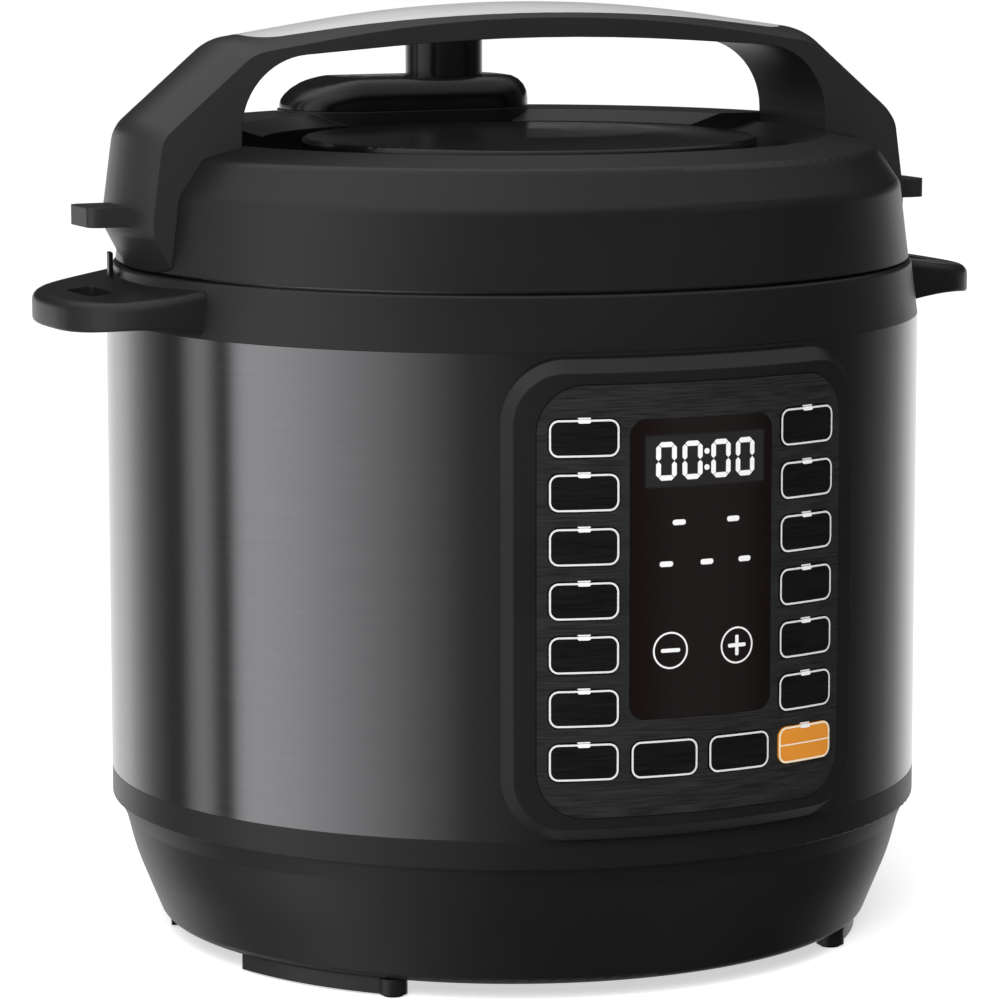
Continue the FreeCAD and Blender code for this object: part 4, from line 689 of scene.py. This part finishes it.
lamps = bmesh.new()
for place_along, height in LAMP_PLACES:
    rounded_bar(lamps, place_along, height, LAMP_WIDTH, LAMP_HEIGHT, LAMP_ROUND)
printed("display_lamps", lamps, lens_reach, PRINT_THICKNESS, white, "base")

marks = bmesh.new()
for place_along in MARK_PLACES:
    outline_only(marks, disc(marks, place_along, MARK_HEIGHT, MARK_RADIUS, MARK_STEPS), MARK_LINE)
for place_along in MARK_PLACES:
    rounded_bar(marks, place_along, MARK_HEIGHT, MARK_ARM, MARK_BAR, MARK_BAR_ROUND)
stub = (MARK_ARM - MARK_BAR) / 2
for end in (-1, 1):
    stub_middle = MARK_HEIGHT + end * (MARK_BAR + stub) / 2
    rounded_bar(marks, MARK_PLACES[1], stub_middle, MARK_BAR, stub, MARK_STUB_ROUND)
printed("touch_marks", marks, lens_reach, PRINT_THICKNESS, white, "base")


# Keys
# Embossed keys in the film of the panel, each with a printed outline. All but the two at the bottom have a
# lamp bar across their top edge, and the last on the right is orange, with a line across its middle.
KEY_LINE = 0.0006
KEY_CORNER = 0.0030
KEY_MARGIN = 0.0001
KEY_LAMP_WIDTH = 0.92 * LAMP_WIDTH
KEY_LAMP_THICKNESS = 2 * PRINT_THICKNESS
LAMP_ON_KEY = 0.0012
LAMP_ON_FACE = 0.00045
LAMP_ON_FACE_ROUND = 0.0002
CANCEL_LINE = 0.00042
CANCEL_LINE_ROUND = 0.00006
key_film = brushed_film("key_film", dark=0.003, pale=0.007)
orange_film = moulded_plastic("orange_film", colour=(0.80, 0.29, 0.018), roughness=0.45)
grey = print_ink("grey_print", colour=(0.70, 0.70, 0.69))
cream = print_ink("cream_print", colour=(0.88, 0.80, 0.62))
key_names = [name for name in nodes if name.startswith("key_")]
give(key_film, *key_names)
give(orange_film, "key_cancel")
face_reach = reach_of("face_plate") - PRINT_SINK
face_lamps = bmesh.new()
for name in key_names:
    low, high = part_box(name)
    reach = reach_of(name)
    bearings = [math.atan2(vertex.co.x, -vertex.co.y) for vertex in nodes[name].data.vertices]
    turn = (min(bearings) + max(bearings)) / 2
    width = (max(bearings) - min(bearings)) * reach - 2 * KEY_MARGIN
    height = high.z - low.z - 2 * KEY_MARGIN
    middle = (low.z + high.z) / 2
    is_cancel = name == "key_cancel"
    ink = cream if is_cancel else grey
    outline = bmesh.new()
    rounded_bar(outline, 0, middle, width, height, KEY_CORNER, KEY_LINE)
    if is_cancel:
        rounded_bar(outline, 0, middle, width - 2 * KEY_LINE, CANCEL_LINE, CANCEL_LINE_ROUND)
    printed(name + "_outline", outline, reach - PRINT_SINK, PRINT_THICKNESS, ink, name, turn)
    if "bottom" not in name:
        lamp = bmesh.new()
        rounded_bar(lamp, 0, high.z - LAMP_ON_KEY / 2, KEY_LAMP_WIDTH, LAMP_ON_KEY, LAMP_ROUND)
        printed(name + "_lamp", lamp, reach - PRINT_SINK, KEY_LAMP_THICKNESS, white, name, turn)
        above = high.z + KEY_MARGIN / 2 + LAMP_ON_FACE / 2
        rounded_bar(face_lamps, turn * face_reach, above, KEY_LAMP_WIDTH, LAMP_ON_FACE, LAMP_ON_FACE_ROUND)
printed("key_lamp_tops", face_lamps, face_reach, PRINT_THICKNESS, white, "base")


# Float pin
# A turned steel pin with a red cap. Pressure lifts it through the valve cover, and its weight drops it back
# when the steam is gone.
PIN_STEEL = (0.58, 0.58, 0.57, 1)
PIN_RED = (0.30, 0.012, 0.010, 1)
PIN_GRAIN_SCALE = 900.0
PIN_CAP = 0.003
PIN_CAP_BLUR = 0.00015


def capped_pin():
    finish, place = new_finish("capped_pin")
    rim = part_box("float_pin")[1].z - PIN_CAP
    cap = place.axes()[2].step(rim - PIN_CAP_BLUR, rim)
    surface(place, {
        "Base Color": cap.mix(PIN_STEEL, PIN_RED),
        "Metallic": 1 - cap,
        "Roughness": place.noise(PIN_GRAIN_SCALE).between(0.28, 0.40),
    })
    return finish


give(capped_pin(), "float_pin")


# Condensation cup
# A small open cup at the back, for the water that drips from the collar. It is moulded in smoky plastic and
# slides off its bracket.
give(moulded_plastic("smoky_plastic", colour=(0.03, 0.03, 0.033), roughness=0.2), "condensation_cup")


# Lid cover and handle
# The cover is moulded in the same black plastic and screwed to the pressure lid. The handle is moulded in one
# piece and fixed to the cover. Its black is a little paler than the cover's: painted light on the handle.
give(black_plastic, "lid_cover")
# The handle's paler black is painted light, not a paler moulding.
give(moulded_plastic("painted_light_handle_plastic", colour=(0.024, 0.024, 0.024), roughness=0.36), "lid_handle")


# Dome, valve cover and knob
# Polished black mouldings, smoother than the cover round them. The valve cover is a long rounded cap that
# falls away to its left end, with holes for the knob and the float pin.
VALVE_CORNER = 0.0200
VALVE_CORNER_STEPS = 16
VALVE_ROUND = 0.0080
VALVE_SLICE = 0.003
VALVE_FALL = 0.5
VALVE_FALL_FROM = -0.022
VALVE_FALL_CURVE = 1.5
VALVE_FLOOR = 0.0012
HOLE_GAP = 0.0003
HOLE_STEPS = 64
FLOAT_RADIUS = 0.0030
polished_plastic = moulded_plastic("polished_plastic", colour=(0.005, 0.005, 0.005), roughness=0.17)
give(polished_plastic, "lid_dome", "steam_knob")
valve_low, valve_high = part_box("valve_cover")


def valve_form():
    """The cap, bent down towards its left end."""
    plan = rounded_rectangle(valve_low.xy, valve_high.xy, VALVE_CORNER, VALVE_CORNER_STEPS)
    form = raised_plan(plan, valve_low.z, valve_high.z)
    round_rim(form, valve_high.z, VALVE_ROUND)
    sliced(form, VALVE_SLICE, Vector((1, 0, 0)))
    for vertex in form.verts:
        leftwards = max((VALVE_FALL_FROM - vertex.co.x) / (VALVE_FALL_FROM - valve_low.x), 0)
        vertex.co.z -= (vertex.co.z - valve_low.z) * VALVE_FALL * leftwards ** VALVE_FALL_CURVE
    return form


def hole_form(centre, radius, bottom):
    """A round hole that goes through the top of the cap."""
    plan = []
    for index in range(HOLE_STEPS):
        turn = math.tau * index / HOLE_STEPS
        plan.append((centre.x + radius * math.cos(turn), centre.y + radius * math.sin(turn)))
    return raised_plan(plan, bottom, valve_high.z + VALVE_ROUND)


cap = smoothed(placed("valve_falling_cap", valve_form(), polished_plastic, "lid"))
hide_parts("valve_cover")
knob_low, knob_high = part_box("steam_knob")
knob_radius = (knob_high.x - knob_low.x) / 2
cut_out(cap, hole_form((knob_low + knob_high) / 2, knob_radius + HOLE_GAP, valve_low.z + VALVE_FLOOR))
pin_low, pin_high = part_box("float_pin")
cut_out(cap, hole_form((pin_low + pin_high) / 2, FLOAT_RADIUS + HOLE_GAP, valve_low.z - VALVE_FLOOR))


# Handle trim
# A thin strip of metallised plastic, satin with fine lines along it. It is let into the top of the handle and
# follows its arch.
TRIM_DARK = (0.80, 0.80, 0.80, 1)
TRIM_PALE = (0.88, 0.88, 0.88, 1)
TRIM_LINES = (30.0, 1600.0, 30.0)
TRIM_METALLIC = 0.25


def silver_strip():
    finish, place = new_finish("silver_strip")
    lines = place.stretched(TRIM_LINES).noise(1.0)
    surface(place, {
        "Base Color": lines.spread().mix(TRIM_DARK, TRIM_PALE),
        "Metallic": TRIM_METALLIC,
        "Roughness": lines.between(0.30, 0.40),
    })
    return finish


give(silver_strip(), "handle_trim")


# Studio
# A room for the steel to mirror: soft panels on the walls and overhead, a darker floor and a dark backdrop.
# Each wall stop is a bearing in degrees, 0 at the camera and plus to its right, and a brightness. The camera
# itself sees plain white, and one softbox lights the front.
WALLS = (
    (-180, 1.0), (-147, 1.0), (-141, 0.93), (-131, 0.52), (-123, 0.25), (-113, 0.09), (-107, 0.09),
    (-102, 0.42), (-98, 0.60), (-95, 0.54), (-90, 0.14), (-86.5, 0.08), (-83, 0.75), (-80, 1.0), (-73, 1.0),
    (-61, 0.86), (-51, 0.70), (-39, 0.51), (-25, 0.29), (-12, 0.11), (5, 0.06), (100, 0.04), (113, 0.05),
    (121, 0.10), (130, 0.19), (139, 0.40), (149, 0.80), (157, 1.0), (180, 1.0),
)
OVERHEAD_RIGHT = 0.45
OVERHEAD_LEFT = 0.85
OVERHEAD_TURN = (0.5, -0.5)
OVERHEAD_RISE = (0.35, 0.85)
BACKDROP_FLAG = 0.975
BACKDROP_EDGE = (0.45, 0.75)
BACKDROP_RISE = (0.0, 0.05)
FLOOR_RIGHT = 0.35
FLOOR_LEFT = 0.85
FLOOR_TURN = (-0.2, -0.8)
FLOOR_DROP = (-0.22, -0.55)
FLOOR_HALF_SIZE = 6.0
FLOOR_GREY = (0.9, 0.9, 0.9, 1)
FLOOR_GLOW = 0.6
WHITE_LIGHT = (1, 1, 1, 1)
SOFTBOX_PLACE = Vector((-0.9, -1.6, 1.3))
SOFTBOX_TARGET = Vector((0, 0, 0.15))
SOFTBOX_SIZE = 1.2
SOFTBOX_POWER = 40.0

world = bpy.data.worlds.new("studio")
scene.world = world
world.use_nodes = True
world.node_tree.nodes.clear()
direction = Shade(world.node_tree).node("ShaderNodeTexCoord", output="Generated")
x, y, z = direction.axes()
towards = CAMERA_PLACE.xy.normalized()
ahead = x * towards.x + y * towards.y
beside = x * -towards.y + y * towards.x
bearing = direction.math("ARCTAN2", beside, ahead) / (2 * math.pi) + 0.5
stops = [(angle / 360 + 0.5, level) for angle, level in WALLS]
walls = direction.node("ShaderNodeValToRGB", {"stops": stops}, {0: bearing})
flagged = (0 - ahead).step(*BACKDROP_EDGE) * z.step(*BACKDROP_RISE) * BACKDROP_FLAG
darkest = beside.step(*FLOOR_TURN).between(FLOOR_RIGHT, FLOOR_LEFT)
lower = z.step(*FLOOR_DROP) * (1 - darkest)
overhead = beside.step(*OVERHEAD_TURN).between(OVERHEAD_RIGHT, OVERHEAD_LEFT)
room = z.step(*OVERHEAD_RISE).between(walls * (1 - flagged) * (1 - lower), overhead)
rays = direction.node("ShaderNodeLightPath").socket.node.outputs
camera_ray = Shade(world.node_tree, rays["Is Camera Ray"])
clear_ray = Shade(world.node_tree, rays["Is Transmission Ray"])
strength = direction.math("MAXIMUM", camera_ray, clear_ray).between(room, 1.0)
background = direction.node("ShaderNodeBackground", {}, {"Color": WHITE_LIGHT, "Strength": strength})
direction.node("ShaderNodeOutputWorld", {}, {"Surface": background})

softbox = bpy.data.lights.new("front_softbox", "AREA")
softbox.shape = "SQUARE"
softbox.size = SOFTBOX_SIZE
softbox.energy = SOFTBOX_POWER
stand = bpy.data.objects.new("front_softbox", softbox)
scene.collection.objects.link(stand)
stand.location = SOFTBOX_PLACE
stand.rotation_euler = (SOFTBOX_TARGET - SOFTBOX_PLACE).to_track_quat("-Z", "Y").to_euler()
stand.visible_glossy = False

ground = bmesh.new()
bmesh.ops.create_grid(ground, x_segments=1, y_segments=1, size=FLOOR_HALF_SIZE)
floor_mesh = bpy.data.meshes.new("floor")
ground.to_mesh(floor_mesh)
ground.free()
floor = bpy.data.objects.new("floor", floor_mesh)
scene.collection.objects.link(floor)
floor.visible_glossy = False
floor.visible_shadow = False
floor_finish, ground_place = new_finish("white_floor")
matt = ground_place.node("ShaderNodeBsdfDiffuse", {}, {"Color": FLOOR_GREY})
glow = ground_place.node("ShaderNodeEmission", {}, {"Color": WHITE_LIGHT, "Strength": FLOOR_GLOW})
both = ground_place.node("ShaderNodeAddShader", {}, {0: matt, 1: glow})
seen = ground_place.node("ShaderNodeLightPath", output="Is Camera Ray")
shown = ground_place.node("ShaderNodeMixShader", {}, {0: seen, 1: matt, 2: both})
ground_place.node("ShaderNodeOutputMaterial", {}, {"Surface": shown})
floor_mesh.materials.append(floor_finish)
